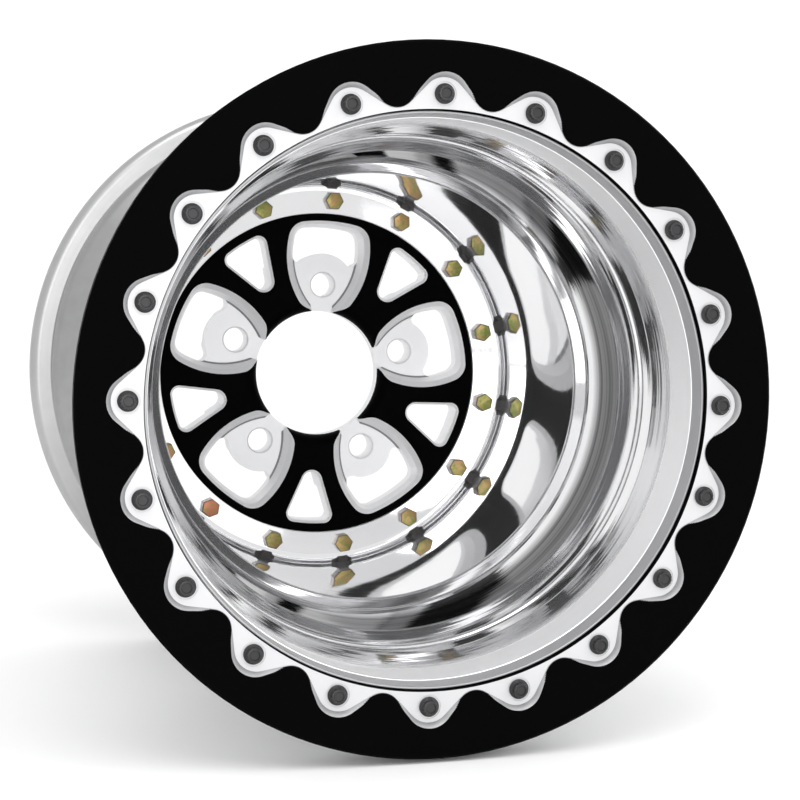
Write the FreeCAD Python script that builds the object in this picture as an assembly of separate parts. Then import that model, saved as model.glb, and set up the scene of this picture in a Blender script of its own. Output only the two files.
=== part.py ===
import FreeCAD, Part
import math
import os

from FreeCAD import Vector

# Deep-dish drag racing wheel with a bolted bead lock, 16 in by 16 in, all sizes in mm.
# The origin is the centre of the lug circle on the hub mounting face. The wheel spins
# about +Y, which points to the car, the dished front looks to -Y and +Z is up.

# Overall sizes of the rim
rim_width = 406.4
backspacing = 50.8
bead_seat_radius = 202.8
rear_lip_height = 17.2
rear_lip_depth = 9.5
shell_wall = 3.2

# Bead lock: clamp ring, lock ring and their bolts
ring_overhang = 14.7
ring_edge_chamfer = 1.5
ring_edge_depth = 10.0
tab_thickness = 10.9
tooth_rise = 0.7
band_rise = 5.6
pilot_clearance = 0.6
bead_recess_depth = 3.0
grip_groove_count = 3
grip_groove_width = 1.2
grip_groove_depth = 0.8
grip_groove_pitch = 3.0
lock_bolt_count = 20
lock_bolt_set_in = 16.8
lock_bolt_turn = 16.56
tab_radius = 13.9
tab_set_in = 4.1
tab_wall_lean = 0.85
tooth_tip_radius = 12.4
tooth_tip_set_in = 7.5
spotface_radius = 7.4
spotface_depth = 0.4
lock_flange_height = 11.2
lock_flange_thickness = 8.0
bead_space = 14.5
lock_ring_foot_height = 6.0
lock_ring_weld_length = 8.0

# Lock bolts: quarter inch, flanged, twelve-point heads, in steel thread inserts
lock_bolt_radius = 3.175
lock_bolt_hole_clearance = 0.25
lock_bolt_flange_radius = 6.2
lock_bolt_flange_height = 1.6
lock_bolt_cone_height = 1.2
lock_bolt_point_radius = 4.7
lock_bolt_head_height = 5.5
lock_bolt_grip = 12.0
insert_wall = 0.9
insert_length = 13.0
insert_hole_spare = 3.0

# Outer rim half: depths are measured back from the front of its lip
lip_reach = 7.2
lip_land_set_in = 30.0
lip_land_end = 45.7
second_land_drop = 5.5
second_land_start = 63.7
second_land_end = 80.1
third_land_drop = 7.8
third_land_start = 82.1
third_land_end = 94.7
fourth_land_drop = 12.8
fourth_land_start = 106.7
fourth_land_end = 162.7
drum_radius = 151.0
drum_start = 169.7
land_bend_radius = 5.0
step_edge_bend = 1.5
step_foot_bend = 3.6
flange_bend_radius = 6.0
lip_flare_depth = 11.7
lip_flare_wall = 1.2
lip_flare_step = 0.4

# Inner rim half, behind the centre
inner_drum_length = 14.0
inner_slope_length = 22.0
bead_seat_length = 16.0
hump_height = 1.2
hump_length = 8.0
lip_curl_radius = 6.0

# Forged centre
flange_width = 25.2
boss_clearance = 0.3
centre_rim_set_in = 6.2
centre_rim_thickness = 12.0
boss_height = 1.6
hub_pad_thickness = 20.6
lug_pocket_depth = 13.7
web_thickness = 24.0
hub_pad_radius = 92.0
web_edge_chamfer = 2.0
bore_radius = 49.0
bore_relief_radius = 56.0
bore_relief_depth = 11.0
bore_edge_round = 10.8
lug_count = 5
lug_circle_diameter = 139.7
lug_hole_radius = 9.35
lug_edge_chamfer = 1.0
centre_turn = 13.45

# Shield-shaped lug pockets, each open to the bore at its narrow end
pocket_side_curve = 0.7338
pocket_spread = 0.349
pocket_widest_set_in = 30.1
pocket_rim_width = 5.6
pocket_corner_radius = 14.0
pocket_edge_depth = 4.0
pocket_edge_side = 3.9
pocket_edge_outer = 2.4
pocket_edge_corner_radius = 11.5
pocket_wall_side = 3.1
pocket_wall_outer = 2.4
pocket_wall_corner_radius = 9.0
pocket_foot_width = 1.5
pocket_foot_depth = 1.5
pocket_foot_corner_radius = 8.0
pocket_mouth_half_width = 8.7
lug_boss_share = 0.4955
window_corner_radius = 5.0

# Three-sided windows between the pockets
slot_tip_at = 84.8
slot_tip_radius = 8.5
slot_corner_set_in = 14.3
slot_corner_spread = 0.1034
slot_corner_radius = 7.0
slot_edge_width = 1.8
slot_edge_depth = 2.6

# Assembly bolts: five-sixteenths hex bolts with washers and nylon-ring lock nuts behind
hex_bolt_count = 15
hex_bolt_set_in = 15.5
hex_bolt_radius = 3.97
hex_bolt_hole_clearance = 0.25
hex_across_flats = 12.7
hex_head_height = 7.0
hex_head_chamfer = 0.7
washer_radius = 8.7
washer_thickness = 1.6
nut_hex_height = 6.7
nut_collar_height = 2.4
nut_collar_radius = 5.7
nylon_ring_wall = 1.1
bolt_end_spare = 1.6

# Sealant bead in the groove between the two rim halves
sealant_depth = 4.5

# Low clamp-in valve through the drum wall
valve_turn = 169.4
valve_from_flange = 19.0
valve_hole_radius = 5.75
valve_stem_radius = 4.1
valve_stem_fit = 0.3
valve_base_radius = 8.0
valve_base_thickness = 2.4
valve_seal_thickness = 2.5
valve_washer_radius = 7.2
valve_washer_thickness = 1.2
valve_nut_across_flats = 11.0
valve_nut_height = 4.0
valve_stem_reach = 14.6
valve_core_radius = 2.3
valve_core_length = 11.0
valve_core_set_back = 0.8
valve_cap_radius = 5.0
valve_cap_height = 8.4
valve_cap_top = 1.2
valve_cap_seal_thickness = 0.8

# Planes along the spin axis, worked out from the sizes above
rear_edge_y = backspacing
rear_bead_y = rear_edge_y - rear_lip_depth
clamp_seat_y = rear_bead_y - rim_width
lip_front_y = clamp_seat_y - lip_reach
tab_floor_y = clamp_seat_y - tab_thickness
tooth_y = tab_floor_y - tooth_rise
band_y = tab_floor_y - band_rise
lug_pad_y = -hub_pad_thickness
face_y = lug_pad_y - lug_pocket_depth
outer_seat_y = face_y + boss_height
flange_front_y = outer_seat_y - shell_wall
inner_seat_y = outer_seat_y + centre_rim_thickness
flange_back_y = inner_seat_y + shell_wall
web_back_y = face_y + web_thickness

# Lines of the lug pocket walls: depth below the face, side draft, outer draft, corner radius
edge_line = (pocket_edge_depth, pocket_edge_side, pocket_edge_outer, pocket_edge_corner_radius)
wall_side_draft = pocket_edge_side + pocket_wall_side
wall_outer_draft = pocket_edge_outer + pocket_wall_outer
wall_line = (lug_pocket_depth - pocket_foot_depth, wall_side_draft, wall_outer_draft,
             pocket_wall_corner_radius)
foot_line = (lug_pocket_depth, wall_side_draft + pocket_foot_width,
             wall_outer_draft + pocket_foot_width / 4, pocket_foot_corner_radius)
pocket_lines = [(0.0, 0.0, 0.0, pocket_corner_radius), edge_line, wall_line, foot_line]

# Radii of the bead lock and the dish, which follow from the bead seat
rear_lip_radius = bead_seat_radius + rear_lip_height
ring_outer_radius = bead_seat_radius + ring_overhang
lock_bolt_circle_radius = bead_seat_radius - lock_bolt_set_in
tooth_tip_circle = lock_bolt_circle_radius - tooth_tip_set_in
lock_flange_radius = bead_seat_radius + lock_flange_height
lip_land_radius = bead_seat_radius - lip_land_set_in
second_land_radius = lip_land_radius - second_land_drop
third_land_radius = lip_land_radius - third_land_drop
fourth_land_radius = lip_land_radius - fourth_land_drop
lip_outer_radius = lip_land_radius + shell_wall
ring_bore_radius = lip_outer_radius + pilot_clearance
lock_ring_foot = lip_outer_radius + lock_ring_foot_height

# Radii of the flanges and the centre, which follow from the drum and the lug circle
lug_circle_radius = lug_circle_diameter / 2
flange_inner_radius = drum_radius - flange_width
hex_bolt_circle_radius = drum_radius - hex_bolt_set_in
centre_rim_radius = drum_radius - centre_rim_set_in
boss_radius = flange_inner_radius - boss_clearance
pocket_outer_radius = boss_radius - pocket_rim_width
pocket_widest_at = boss_radius - pocket_widest_set_in
pocket_half_width = pocket_widest_at * pocket_spread
pocket_side_radius = pocket_widest_at * pocket_side_curve
lug_boss_radius = (pocket_outer_radius - lug_circle_radius) * lug_boss_share
slot_corner_at = boss_radius - slot_corner_set_in
slot_corner_half_width = slot_corner_at * slot_corner_spread
insert_outer_radius = lock_bolt_radius + insert_wall

axis_point = Vector(0, 0, 0)
axis_back = Vector(0, 1, 0)
front_turn_axis = Vector(0, -1, 0)


def section_point(radius, y):
    """A point of a turned profile."""
    return Vector(radius, y, 0)


def polygon_face(points):
    """A face bounded by straight lines."""
    return Part.Face(Part.makePolygon(list(points) + [points[0]]))


def turned(face):
    """The ring that a profile makes about the spin axis."""
    return face.revolve(axis_point, axis_back, 360)


def tube(inner, outer, start, end):
    """A plain ring about the spin axis from start to end."""
    corners = [(inner, start), (outer, start), (outer, end), (inner, end)]
    return turned(polygon_face([section_point(r, y) for r, y in corners]))


def disc(radius, start, end, at=0.0):
    """A plug along the spin axis, set off from it along +X."""
    return Part.makeCylinder(radius, end - start, Vector(at, start, 0), axis_back)


def cone(start_radius, end_radius, start, end, at=0.0):
    """A tapered plug along the spin axis, set off from it along +X."""
    return Part.makeCone(start_radius, end_radius, end - start, Vector(at, start, 0), axis_back)


def spun(shape, degrees):
    """A copy turned about the wheel, counter-clockwise as seen from the front."""
    copy = shape.copy()
    copy.rotate(axis_point, front_turn_axis, degrees)
    return copy


def ring_of(shape, count, first):
    """Equal copies of a shape spaced round the wheel."""
    return [spun(shape, first + 360.0 * i / count) for i in range(count)]


def hexagon(across_flats, start, end, at=0.0):
    """A hexagonal prism along the spin axis."""
    reach = across_flats / math.sqrt(3)
    corners = []
    for i in range(6):
        angle = math.radians(60 * i + 30)
        corners.append(Vector(at + reach * math.cos(angle), start, reach * math.sin(angle)))
    return polygon_face(corners).extrude(Vector(0, end - start, 0))


def bend(before, corner, after, radius):
    """The arc that rounds a corner: its start, middle and end points."""
    back = (before - corner).normalize()
    ahead = (after - corner).normalize()
    half = back.getAngle(ahead) / 2
    reach = radius / math.tan(half)
    centre = corner + (back + ahead).normalize() * (radius / math.sin(half))
    middle = centre + (corner - centre).normalize() * radius
    return corner + back * reach, middle, corner + ahead * reach


def bent_path(points, radii):
    """Edges of a path of straight runs with rounded corners."""
    edges = []
    start = points[0]
    for i in range(1, len(points) - 1):
        first, middle, last = bend(points[i - 1], points[i], points[i + 1], radii[i - 1])
        edges.append(Part.makeLine(start, first))
        edges.append(Part.Arc(first, middle, last).toShape())
        start = last
    edges.append(Part.makeLine(start, points[-1]))
    return edges


def run_normal(first, last):
    """The outward side of a run of a spun wall, away from the dish."""
    run = (last - first).normalize()
    return Vector(run.y, -run.x, 0)


def corner_offset(before, corner, after, distance):
    """A corner of a path moved out with both of its runs."""
    first = run_normal(before, corner)
    last = run_normal(corner, after)
    middle = (first + last).normalize()
    return corner + middle * (distance / middle.dot(first))


def wall_section(points, radii, wall):
    """The profile of a spun wall of even thickness, given its inner line."""
    outer = [points[0] + run_normal(points[0], points[1]) * wall]
    outer_radii = []
    for i in range(1, len(points) - 1):
        before, corner, after = points[i - 1], points[i], points[i + 1]
        outer.append(corner_offset(before, corner, after, wall))
        turn = (corner - before).cross(after - corner).z
        outer_radii.append(radii[i - 1] + math.copysign(wall, turn))
    outer.append(points[-1] + run_normal(points[-2], points[-1]) * wall)
    edges = bent_path(points, radii)
    edges.append(Part.makeLine(points[-1], outer[-1]))
    edges.extend(bent_path(outer, outer_radii))
    edges.append(Part.makeLine(outer[0], points[0]))
    return Part.Face(Part.Wire(Part.__sortEdges__(edges)))


def circles_meet(first, first_radius, second, second_radius, side):
    """Where two circles in the wheel plane cross, on the given side of their centre line."""
    line = second - first
    gap = line.Length
    along = (first_radius ** 2 - second_radius ** 2 + gap ** 2) / (2 * gap)
    across = math.sqrt(first_radius ** 2 - along ** 2)
    ahead = line.normalize()
    sideways = Vector(-ahead.z, 0, ahead.x)
    return first + ahead * along + sideways * (across * side)


def toward(start, target, distance):
    """The point at a distance from start on the line to target."""
    return start + (target - start).normalize() * distance


def mirrored(point):
    """The same point on the other side of the local centre line."""
    return Vector(point.x, point.y, -point.z)


def arc(first, middle, last):
    """An arc edge through three points."""
    return Part.Arc(first, middle, last).toShape()


def arc_about(centre, radius, first, last, through):
    """An arc edge about a centre that bulges towards the point through."""
    return arc(first, toward(centre, through, radius), last)


def outline(edges):
    """A closed outline made from edges in any order."""
    return Part.Wire(Part.__sortEdges__(edges))


def at_depth(wire, y):
    """A copy of a wheel-plane outline moved along the spin axis."""
    copy = wire.copy()
    copy.translate(Vector(0, y, 0))
    return copy


def right_way_out(solid):
    """The same solid with all its faces looking outwards."""
    if solid.Volume < 0:
        solid.reverse()
    return solid


def prism(wire, start, end):
    """A straight cutter with a wheel-plane outline."""
    return right_way_out(Part.Face(at_depth(wire, start)).extrude(Vector(0, end - start, 0)))


def tapered(front_wire, back_wire, start, end):
    """A drafted cutter between two outlines with matching edges."""
    return right_way_out(Part.makeLoft([at_depth(front_wire, start), at_depth(back_wire, end)], True, True))


def scallop_outline(spread):
    """The wavy edge of the bright tabs, round each bolt and each tooth, moved out by spread."""
    step = 360.0 / lock_bolt_count
    tab = Vector(lock_bolt_circle_radius - tab_set_in, 0, 0)
    tooth_angle = math.radians(step / 2)
    tooth_way = Vector(math.cos(tooth_angle), 0, math.sin(tooth_angle))
    tooth = tooth_way * (tooth_tip_circle + tooth_tip_radius)
    link = tooth - tab
    lean = math.acos((tab_radius + tooth_tip_radius) / link.Length)
    heading = math.atan2(link.z, link.x) - lean
    slant = Vector(math.cos(heading), 0, math.sin(heading))
    tab_end = tab + slant * (tab_radius + spread)
    tooth_start = tooth - slant * (tooth_tip_radius - spread)
    tab_top = tab + Vector(tab_radius + spread, 0, 0)
    tooth_end = tooth_way * (2 * tooth_start.dot(tooth_way)) - tooth_start
    tooth_tip = tooth_way * (tooth_tip_circle + spread)
    next_tab_start = spun(Part.Vertex(mirrored(tab_end)), step).Point
    edges = [arc(mirrored(tab_end), tab_top, tab_end), Part.makeLine(tab_end, tooth_start)]
    edges.append(arc(tooth_start, tooth_tip, tooth_end))
    edges.append(Part.makeLine(tooth_end, next_tab_start))
    whole = []
    for edge in edges:
        whole.extend(ring_of(edge, lock_bolt_count, lock_bolt_turn))
    return outline(whole)


def clamp_ring():
    """Clamp ring: a face that rises to its outer edge, with flat tabs cut round the bolts."""
    back_y = clamp_seat_y - bead_recess_depth
    front = [(ring_bore_radius, clamp_seat_y), (ring_bore_radius, tooth_y)]
    front += [(ring_outer_radius - ring_edge_chamfer, band_y)]
    front += [(ring_outer_radius, band_y + ring_edge_chamfer)]
    front += [(ring_outer_radius, band_y + ring_edge_depth)]
    back_edge = back_y - (band_y + ring_edge_depth)
    back = [(ring_outer_radius - back_edge, back_y)]
    groove_end = back[0][0] - grip_groove_pitch
    for i in range(grip_groove_count):
        outer = groove_end - i * grip_groove_pitch
        tip = (outer - grip_groove_width / 2, back_y - grip_groove_depth)
        back += [(outer, back_y), tip, (outer - grip_groove_width, back_y)]
    back += [(bead_seat_radius, back_y), (bead_seat_radius - bead_recess_depth, clamp_seat_y)]
    ring = turned(polygon_face([section_point(r, y) for r, y in front + back]))
    tabs_front_y = band_y - 1
    wall_spread = (tab_floor_y - tabs_front_y) * tab_wall_lean
    tabs = tapered(scallop_outline(wall_spread), scallop_outline(0), tabs_front_y, tab_floor_y)
    hole_radius = lock_bolt_radius + lock_bolt_hole_clearance
    hole = disc(hole_radius, band_y, clamp_seat_y + 1, lock_bolt_circle_radius)
    spot = disc(spotface_radius, band_y, tab_floor_y + spotface_depth, lock_bolt_circle_radius)
    holes = ring_of(hole, lock_bolt_count, lock_bolt_turn)
    spots = ring_of(spot, lock_bolt_count, lock_bolt_turn)
    return ring.cut([tabs] + holes + spots)


def lock_ring():
    """Lock ring welded round the outer rim half: bolt shoulder and bead flange."""
    flange_y = clamp_seat_y + bead_space
    back_y = flange_y + lock_flange_thickness
    lead = bead_recess_depth
    corners = [(lip_outer_radius, clamp_seat_y), (bead_seat_radius - lead, clamp_seat_y)]
    corners += [(bead_seat_radius, clamp_seat_y + lead), (bead_seat_radius, flange_y)]
    corners += [(lock_flange_radius, flange_y), (lock_flange_radius, back_y)]
    corners += [(lock_ring_foot, back_y), (lip_outer_radius, back_y + lock_ring_weld_length)]
    ring = turned(polygon_face([section_point(r, y) for r, y in corners]))
    end = clamp_seat_y + insert_length
    hole = disc(insert_outer_radius, clamp_seat_y - 1, end, lock_bolt_circle_radius)
    tail = disc(lock_bolt_radius, end - 1, end + insert_hole_spare, lock_bolt_circle_radius)
    return ring.cut(ring_of(hole.fuse(tail), lock_bolt_count, lock_bolt_turn))


def lock_bolt():
    """One flanged bolt with a twelve-point head, on the bolt circle along +X."""
    at = lock_bolt_circle_radius
    seat = tab_floor_y + spotface_depth
    top_of_flange = seat - lock_bolt_flange_height
    top_of_cone = top_of_flange - lock_bolt_cone_height
    top = seat - lock_bolt_head_height
    flats = lock_bolt_point_radius * math.sqrt(3)
    hexes = hexagon(flats, top, seat, at)
    turned_hex = hexes.copy()
    turned_hex.rotate(Vector(at, 0, 0), axis_back, 30)
    dome = cone(lock_bolt_point_radius * 0.85, lock_bolt_point_radius * 1.6, top,
                top + lock_bolt_point_radius, at)
    dome = dome.fuse(disc(lock_bolt_point_radius * 1.6, top + lock_bolt_point_radius, seat, at))
    head = hexes.fuse(turned_hex).common(dome)
    skirt = cone(lock_bolt_point_radius, lock_bolt_flange_radius, top_of_cone, top_of_flange, at)
    flange = disc(lock_bolt_flange_radius, top_of_flange, seat, at)
    shank_end = clamp_seat_y + lock_bolt_grip
    shank = disc(lock_bolt_radius, seat, shank_end, at)
    return head.fuse([skirt, flange, shank]).removeSplitter()


def thread_insert():
    """One steel thread insert in the lock ring."""
    at = lock_bolt_circle_radius
    sleeve = disc(insert_outer_radius, clamp_seat_y, clamp_seat_y + insert_length, at)
    bore = disc(lock_bolt_radius, clamp_seat_y - 1, clamp_seat_y + insert_length + 1, at)
    return sleeve.cut(bore)


def outer_half():
    """Outer rim half: spun stepped dish, deep drum and the bolting flange."""
    lands = [(lip_land_radius, 0), (lip_land_radius, lip_land_end)]
    lands += [(second_land_radius, second_land_start), (second_land_radius, second_land_end)]
    lands += [(third_land_radius, third_land_start), (third_land_radius, third_land_end)]
    lands += [(fourth_land_radius, fourth_land_start), (fourth_land_radius, fourth_land_end)]
    lands += [(drum_radius, drum_start)]
    points = [section_point(r, lip_front_y + depth) for r, depth in lands]
    points.append(section_point(drum_radius, flange_front_y))
    points.append(section_point(flange_inner_radius, flange_front_y))
    radii = [land_bend_radius, land_bend_radius, step_edge_bend, step_foot_bend]
    radii += [land_bend_radius] * 4 + [flange_bend_radius]
    shell = turned(wall_section(points, radii, shell_wall))
    mouth = lip_outer_radius - lip_flare_wall
    throat = lip_land_radius + lip_flare_step
    flare_end_y = lip_front_y + lip_flare_depth
    flare = cone(mouth, throat, lip_front_y, flare_end_y)
    flare = flare.cut(disc(drum_radius, lip_front_y - 1, flare_end_y + 1))
    bolt_hole = disc(hex_bolt_radius + hex_bolt_hole_clearance, flange_front_y - 1,
                     outer_seat_y + 1, hex_bolt_circle_radius)
    holes = ring_of(bolt_hole, hex_bolt_count, centre_turn)
    return shell.cut([flare, valve_plug(valve_hole_radius, drum_radius - 2, drum_radius + 9)] + holes)


def inner_half():
    """Inner rim half: flange, short drum, slope, bead seat and curled rear lip."""
    drum_end = flange_back_y + inner_drum_length
    slope_end = drum_end + inner_slope_length
    seat_start = rear_bead_y - bead_seat_length
    seat_inner = bead_seat_radius - shell_wall
    hump = seat_inner + hump_height
    hump_start = seat_start - hump_length
    points = [(flange_inner_radius, flange_back_y), (drum_radius, flange_back_y)]
    points += [(drum_radius, drum_end), (hump, min(slope_end, hump_start))]
    points += [(hump, seat_start), (seat_inner, seat_start + hump_height * 3)]
    points += [(seat_inner, rear_bead_y + shell_wall)]
    points += [(rear_lip_radius - shell_wall, rear_bead_y + shell_wall)]
    points += [(rear_lip_radius - shell_wall, rear_edge_y)]
    path = [section_point(r, y) for r, y in points]
    radii = [flange_bend_radius, land_bend_radius + shell_wall, land_bend_radius]
    radii += [land_bend_radius, land_bend_radius, land_bend_radius, lip_curl_radius - shell_wall / 2]
    shell = turned(wall_section(path, radii, shell_wall))
    bolt_hole = disc(hex_bolt_radius + hex_bolt_hole_clearance, inner_seat_y - 1,
                     flange_back_y + 1, hex_bolt_circle_radius)
    return shell.cut(ring_of(bolt_hole, hex_bolt_count, centre_turn))


def pocket_outline(side_draft, outer_draft, corner_radius):
    """Shield outline of a lug pocket, drawn in from its edge by the drafts."""
    side_centre = Vector(pocket_widest_at, 0, pocket_half_width - pocket_side_radius)
    side = pocket_side_radius - side_draft
    outer = pocket_outer_radius - outer_draft
    wheel_centre = Vector(0, 0, 0)
    corner = circles_meet(wheel_centre, outer - corner_radius, side_centre, side - corner_radius, 1)
    on_outer = toward(wheel_centre, corner, outer)
    on_side = toward(side_centre, corner, side)
    tip = Vector(pocket_widest_at - math.sqrt(side ** 2 - side_centre.z ** 2), 0, 0)
    side_middle = (tip + on_side) * 0.5
    corner_middle = (on_outer + on_side) * 0.5
    edges = [arc_about(side_centre, side, tip, on_side, side_middle)]
    edges.append(arc_about(corner, corner_radius, on_side, on_outer, corner_middle))
    edges.append(arc(on_outer, Vector(outer, 0, 0), mirrored(on_outer)))
    edges.append(arc_about(mirrored(corner), corner_radius, mirrored(on_outer),
                           mirrored(on_side), mirrored(corner_middle)))
    edges.append(arc_about(mirrored(side_centre), side, mirrored(on_side), tip,
                           mirrored(side_middle)))
    return Part.Wire(edges)


def pocket_window_outline():
    """Opening in a pocket floor, from the round lug boss out to the pocket wall."""
    side_centre = Vector(pocket_widest_at, 0, pocket_half_width - pocket_side_radius)
    side = pocket_side_radius - wall_side_draft
    outer = pocket_outer_radius - wall_outer_draft
    wheel_centre = Vector(0, 0, 0)
    lug = Vector(lug_circle_radius, 0, 0)
    rounding = pocket_wall_corner_radius
    corner = circles_meet(wheel_centre, outer - rounding, side_centre, side - rounding, 1)
    nook = circles_meet(lug, lug_boss_radius + window_corner_radius,
                        side_centre, side - window_corner_radius, 1)
    on_boss = toward(lug, nook, lug_boss_radius)
    nook_on_side = toward(side_centre, nook, side)
    corner_on_side = toward(side_centre, corner, side)
    corner_on_outer = toward(wheel_centre, corner, outer)
    nook_middle = (on_boss + nook_on_side) * 0.5
    side_middle = (nook_on_side + corner_on_side) * 0.5
    corner_middle = (corner_on_side + corner_on_outer) * 0.5
    boss_top = lug + Vector(lug_boss_radius, 0, 0)
    half = [(nook, window_corner_radius, on_boss, nook_on_side, nook_middle)]
    half.append((side_centre, side, nook_on_side, corner_on_side, side_middle))
    half.append((corner, rounding, corner_on_side, corner_on_outer, corner_middle))
    edges = [arc(on_boss, boss_top, mirrored(on_boss))]
    edges.append(arc(corner_on_outer, Vector(outer, 0, 0), mirrored(corner_on_outer)))
    for centre, radius, first, last, middle in half:
        edges.append(arc_about(centre, radius, first, last, middle))
        edges.append(arc_about(mirrored(centre), radius, mirrored(first), mirrored(last),
                               mirrored(middle)))
    return outline(edges)


def pocket_cutters():
    """Cutters of one lug pocket: its edge, wall and foot in turn, and its mouth to the bore."""
    cutters = []
    for upper, lower in zip(pocket_lines, pocket_lines[1:]):
        cutters.append(tapered(pocket_outline(*upper[1:]), pocket_outline(*lower[1:]),
                               face_y + upper[0], face_y + lower[0]))
    mouth_end = bore_radius + pocket_mouth_half_width
    mouth = Part.makeBox(mouth_end, lug_pocket_depth - pocket_edge_depth, 2 * pocket_mouth_half_width,
                         Vector(0, face_y + pocket_edge_depth, -pocket_mouth_half_width))
    cutters.append(mouth.common(disc(mouth_end, face_y, 0)))
    return cutters


def slot_outline(inset):
    """Three-sided window outline: a round tip, two round corners and an arc outside."""
    tip = Vector(slot_tip_at, 0, 0)
    tip_radius = slot_tip_radius - inset
    corner = Vector(slot_corner_at, 0, slot_corner_half_width)
    corner_radius = slot_corner_radius - inset
    outer = corner.Length + corner_radius
    run = corner - tip
    lean = math.acos((tip_radius - corner_radius) / run.Length)
    heading = math.atan2(run.z, run.x) + lean
    side = Vector(math.cos(heading), 0, math.sin(heading))
    on_tip = tip + side * tip_radius
    on_corner = corner + side * corner_radius
    on_outer = toward(Vector(0, 0, 0), corner, outer)
    corner_middle = (on_corner + on_outer) * 0.5
    edges = [arc(mirrored(on_tip), tip - Vector(tip_radius, 0, 0), on_tip)]
    edges.append(Part.makeLine(on_tip, on_corner))
    edges.append(arc_about(corner, corner_radius, on_corner, on_outer, corner_middle))
    edges.append(arc(on_outer, Vector(outer, 0, 0), mirrored(on_outer)))
    edges.append(arc_about(mirrored(corner), corner_radius, mirrored(on_outer),
                           mirrored(on_corner), mirrored(corner_middle)))
    edges.append(Part.makeLine(mirrored(on_corner), mirrored(on_tip)))
    return Part.Wire(edges)


def centre():
    """Forged centre: flat face rounded down into the bore, lug pockets, windows and hub pad."""
    chamfer = web_edge_chamfer
    rounding = bore_edge_round
    corners = [(bore_radius + rounding, face_y)]
    corners += [(boss_radius, face_y), (boss_radius, outer_seat_y)]
    corners += [(centre_rim_radius, outer_seat_y), (centre_rim_radius, inner_seat_y)]
    corners += [(boss_radius, inner_seat_y), (boss_radius, web_back_y - chamfer)]
    corners += [(boss_radius - chamfer, web_back_y), (hub_pad_radius + chamfer, web_back_y)]
    corners += [(hub_pad_radius, web_back_y + chamfer), (hub_pad_radius, -chamfer)]
    corners += [(hub_pad_radius - chamfer, 0), (bore_relief_radius, 0)]
    corners += [(bore_relief_radius, -bore_relief_depth), (bore_radius, -bore_relief_depth)]
    corners += [(bore_radius, face_y + rounding)]
    points = [section_point(r, y) for r, y in corners]
    edge_centre = section_point(bore_radius + rounding, face_y + rounding)
    edge_corner = section_point(bore_radius, face_y)
    edge = arc_about(edge_centre, rounding, points[-1], points[0], edge_corner)
    body = turned(Part.Face(outline(Part.makePolygon(points).Edges + [edge])))
    window = prism(pocket_window_outline(), lug_pad_y - pocket_foot_depth, 1)
    lug = disc(lug_hole_radius, lug_pad_y - 1, 1, lug_circle_radius)
    wide = lug_hole_radius + lug_edge_chamfer
    lug_front = cone(wide, lug_hole_radius, lug_pad_y, lug_pad_y + lug_edge_chamfer, lug_circle_radius)
    slot = prism(slot_outline(slot_edge_width), face_y - 1, 1)
    slot_edge = tapered(slot_outline(0), slot_outline(slot_edge_width), face_y, face_y + slot_edge_depth)
    bolt_hole = disc(hex_bolt_radius + hex_bolt_hole_clearance, outer_seat_y - 1,
                     inner_seat_y + 1, hex_bolt_circle_radius)
    cutters = []
    for shape in pocket_cutters() + [window, lug, lug_front]:
        cutters += ring_of(shape, lug_count, centre_turn)
    for shape in (slot, slot_edge):
        cutters += ring_of(shape, lug_count, centre_turn + 180.0 / lug_count)
    cutters += ring_of(bolt_hole, hex_bolt_count, centre_turn)
    return body.cut(cutters)


def hex_bolt():
    """One assembly bolt, its head on the outer half's flange."""
    at = hex_bolt_circle_radius
    top = flange_front_y - hex_head_height
    head = hexagon(hex_across_flats, top, flange_front_y, at)
    reach = hex_across_flats / 2
    crown = cone(reach - hex_head_chamfer / 4, reach + hex_head_height * 2, top,
                 top + hex_head_height, at)
    crown_top = disc(reach * 0.97, top, flange_front_y, at)
    head = head.common(crown.fuse(crown_top))
    nut_end = flange_back_y + washer_thickness + nut_hex_height + nut_collar_height
    shank = disc(hex_bolt_radius, flange_front_y, nut_end + bolt_end_spare, at)
    return head.fuse(shank).removeSplitter()


def washer():
    """One flat washer behind the inner half's flange."""
    at = hex_bolt_circle_radius
    end = flange_back_y + washer_thickness
    hole = disc(hex_bolt_radius + hex_bolt_hole_clearance, flange_back_y - 1, end + 1, at)
    return disc(washer_radius, flange_back_y, end, at).cut(hole)


def lock_nut():
    """One hex lock nut with a round collar that holds a nylon ring."""
    at = hex_bolt_circle_radius
    start = flange_back_y + washer_thickness
    collar_start = start + nut_hex_height
    end = collar_start + nut_collar_height
    body = hexagon(hex_across_flats, start, collar_start, at)
    body = body.fuse(disc(nut_collar_radius, collar_start, end, at))
    bore = disc(hex_bolt_radius, start - 1, end + 1, at)
    seat = disc(hex_bolt_radius + nylon_ring_wall, collar_start, end + 1, at)
    return body.cut([bore, seat])


def nylon_ring():
    """One nylon ring in the collar of a lock nut."""
    at = hex_bolt_circle_radius
    start = flange_back_y + washer_thickness + nut_hex_height
    end = start + nut_collar_height
    ring = disc(hex_bolt_radius + nylon_ring_wall, start, end, at)
    return ring.cut(disc(hex_bolt_radius, start - 1, end + 1, at))


def sealant(outer_rim, inner_rim):
    """Sealant bead that fills the groove between the two rim halves."""
    inner = centre_rim_radius
    bead = tube(inner, inner + sealant_depth, outer_seat_y - shell_wall, flange_back_y)
    return bead.cut([outer_rim, inner_rim])


def valve_plug(radius, start, end):
    """A round plug along the valve's radial axis, from radius start out to end."""
    y = flange_front_y - valve_from_flange
    plug = Part.makeCylinder(radius, end - start, Vector(start, y, 0), Vector(1, 0, 0))
    return spun(plug, valve_turn)


def valve_hex(across_flats, start, end):
    """A hexagonal prism along the valve's radial axis."""
    prism_shape = hexagon(across_flats, 0, end - start)
    prism_shape.rotate(axis_point, Vector(0, 0, 1), -90)
    prism_shape.translate(Vector(start, flange_front_y - valve_from_flange, 0))
    return spun(prism_shape, valve_turn)


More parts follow.
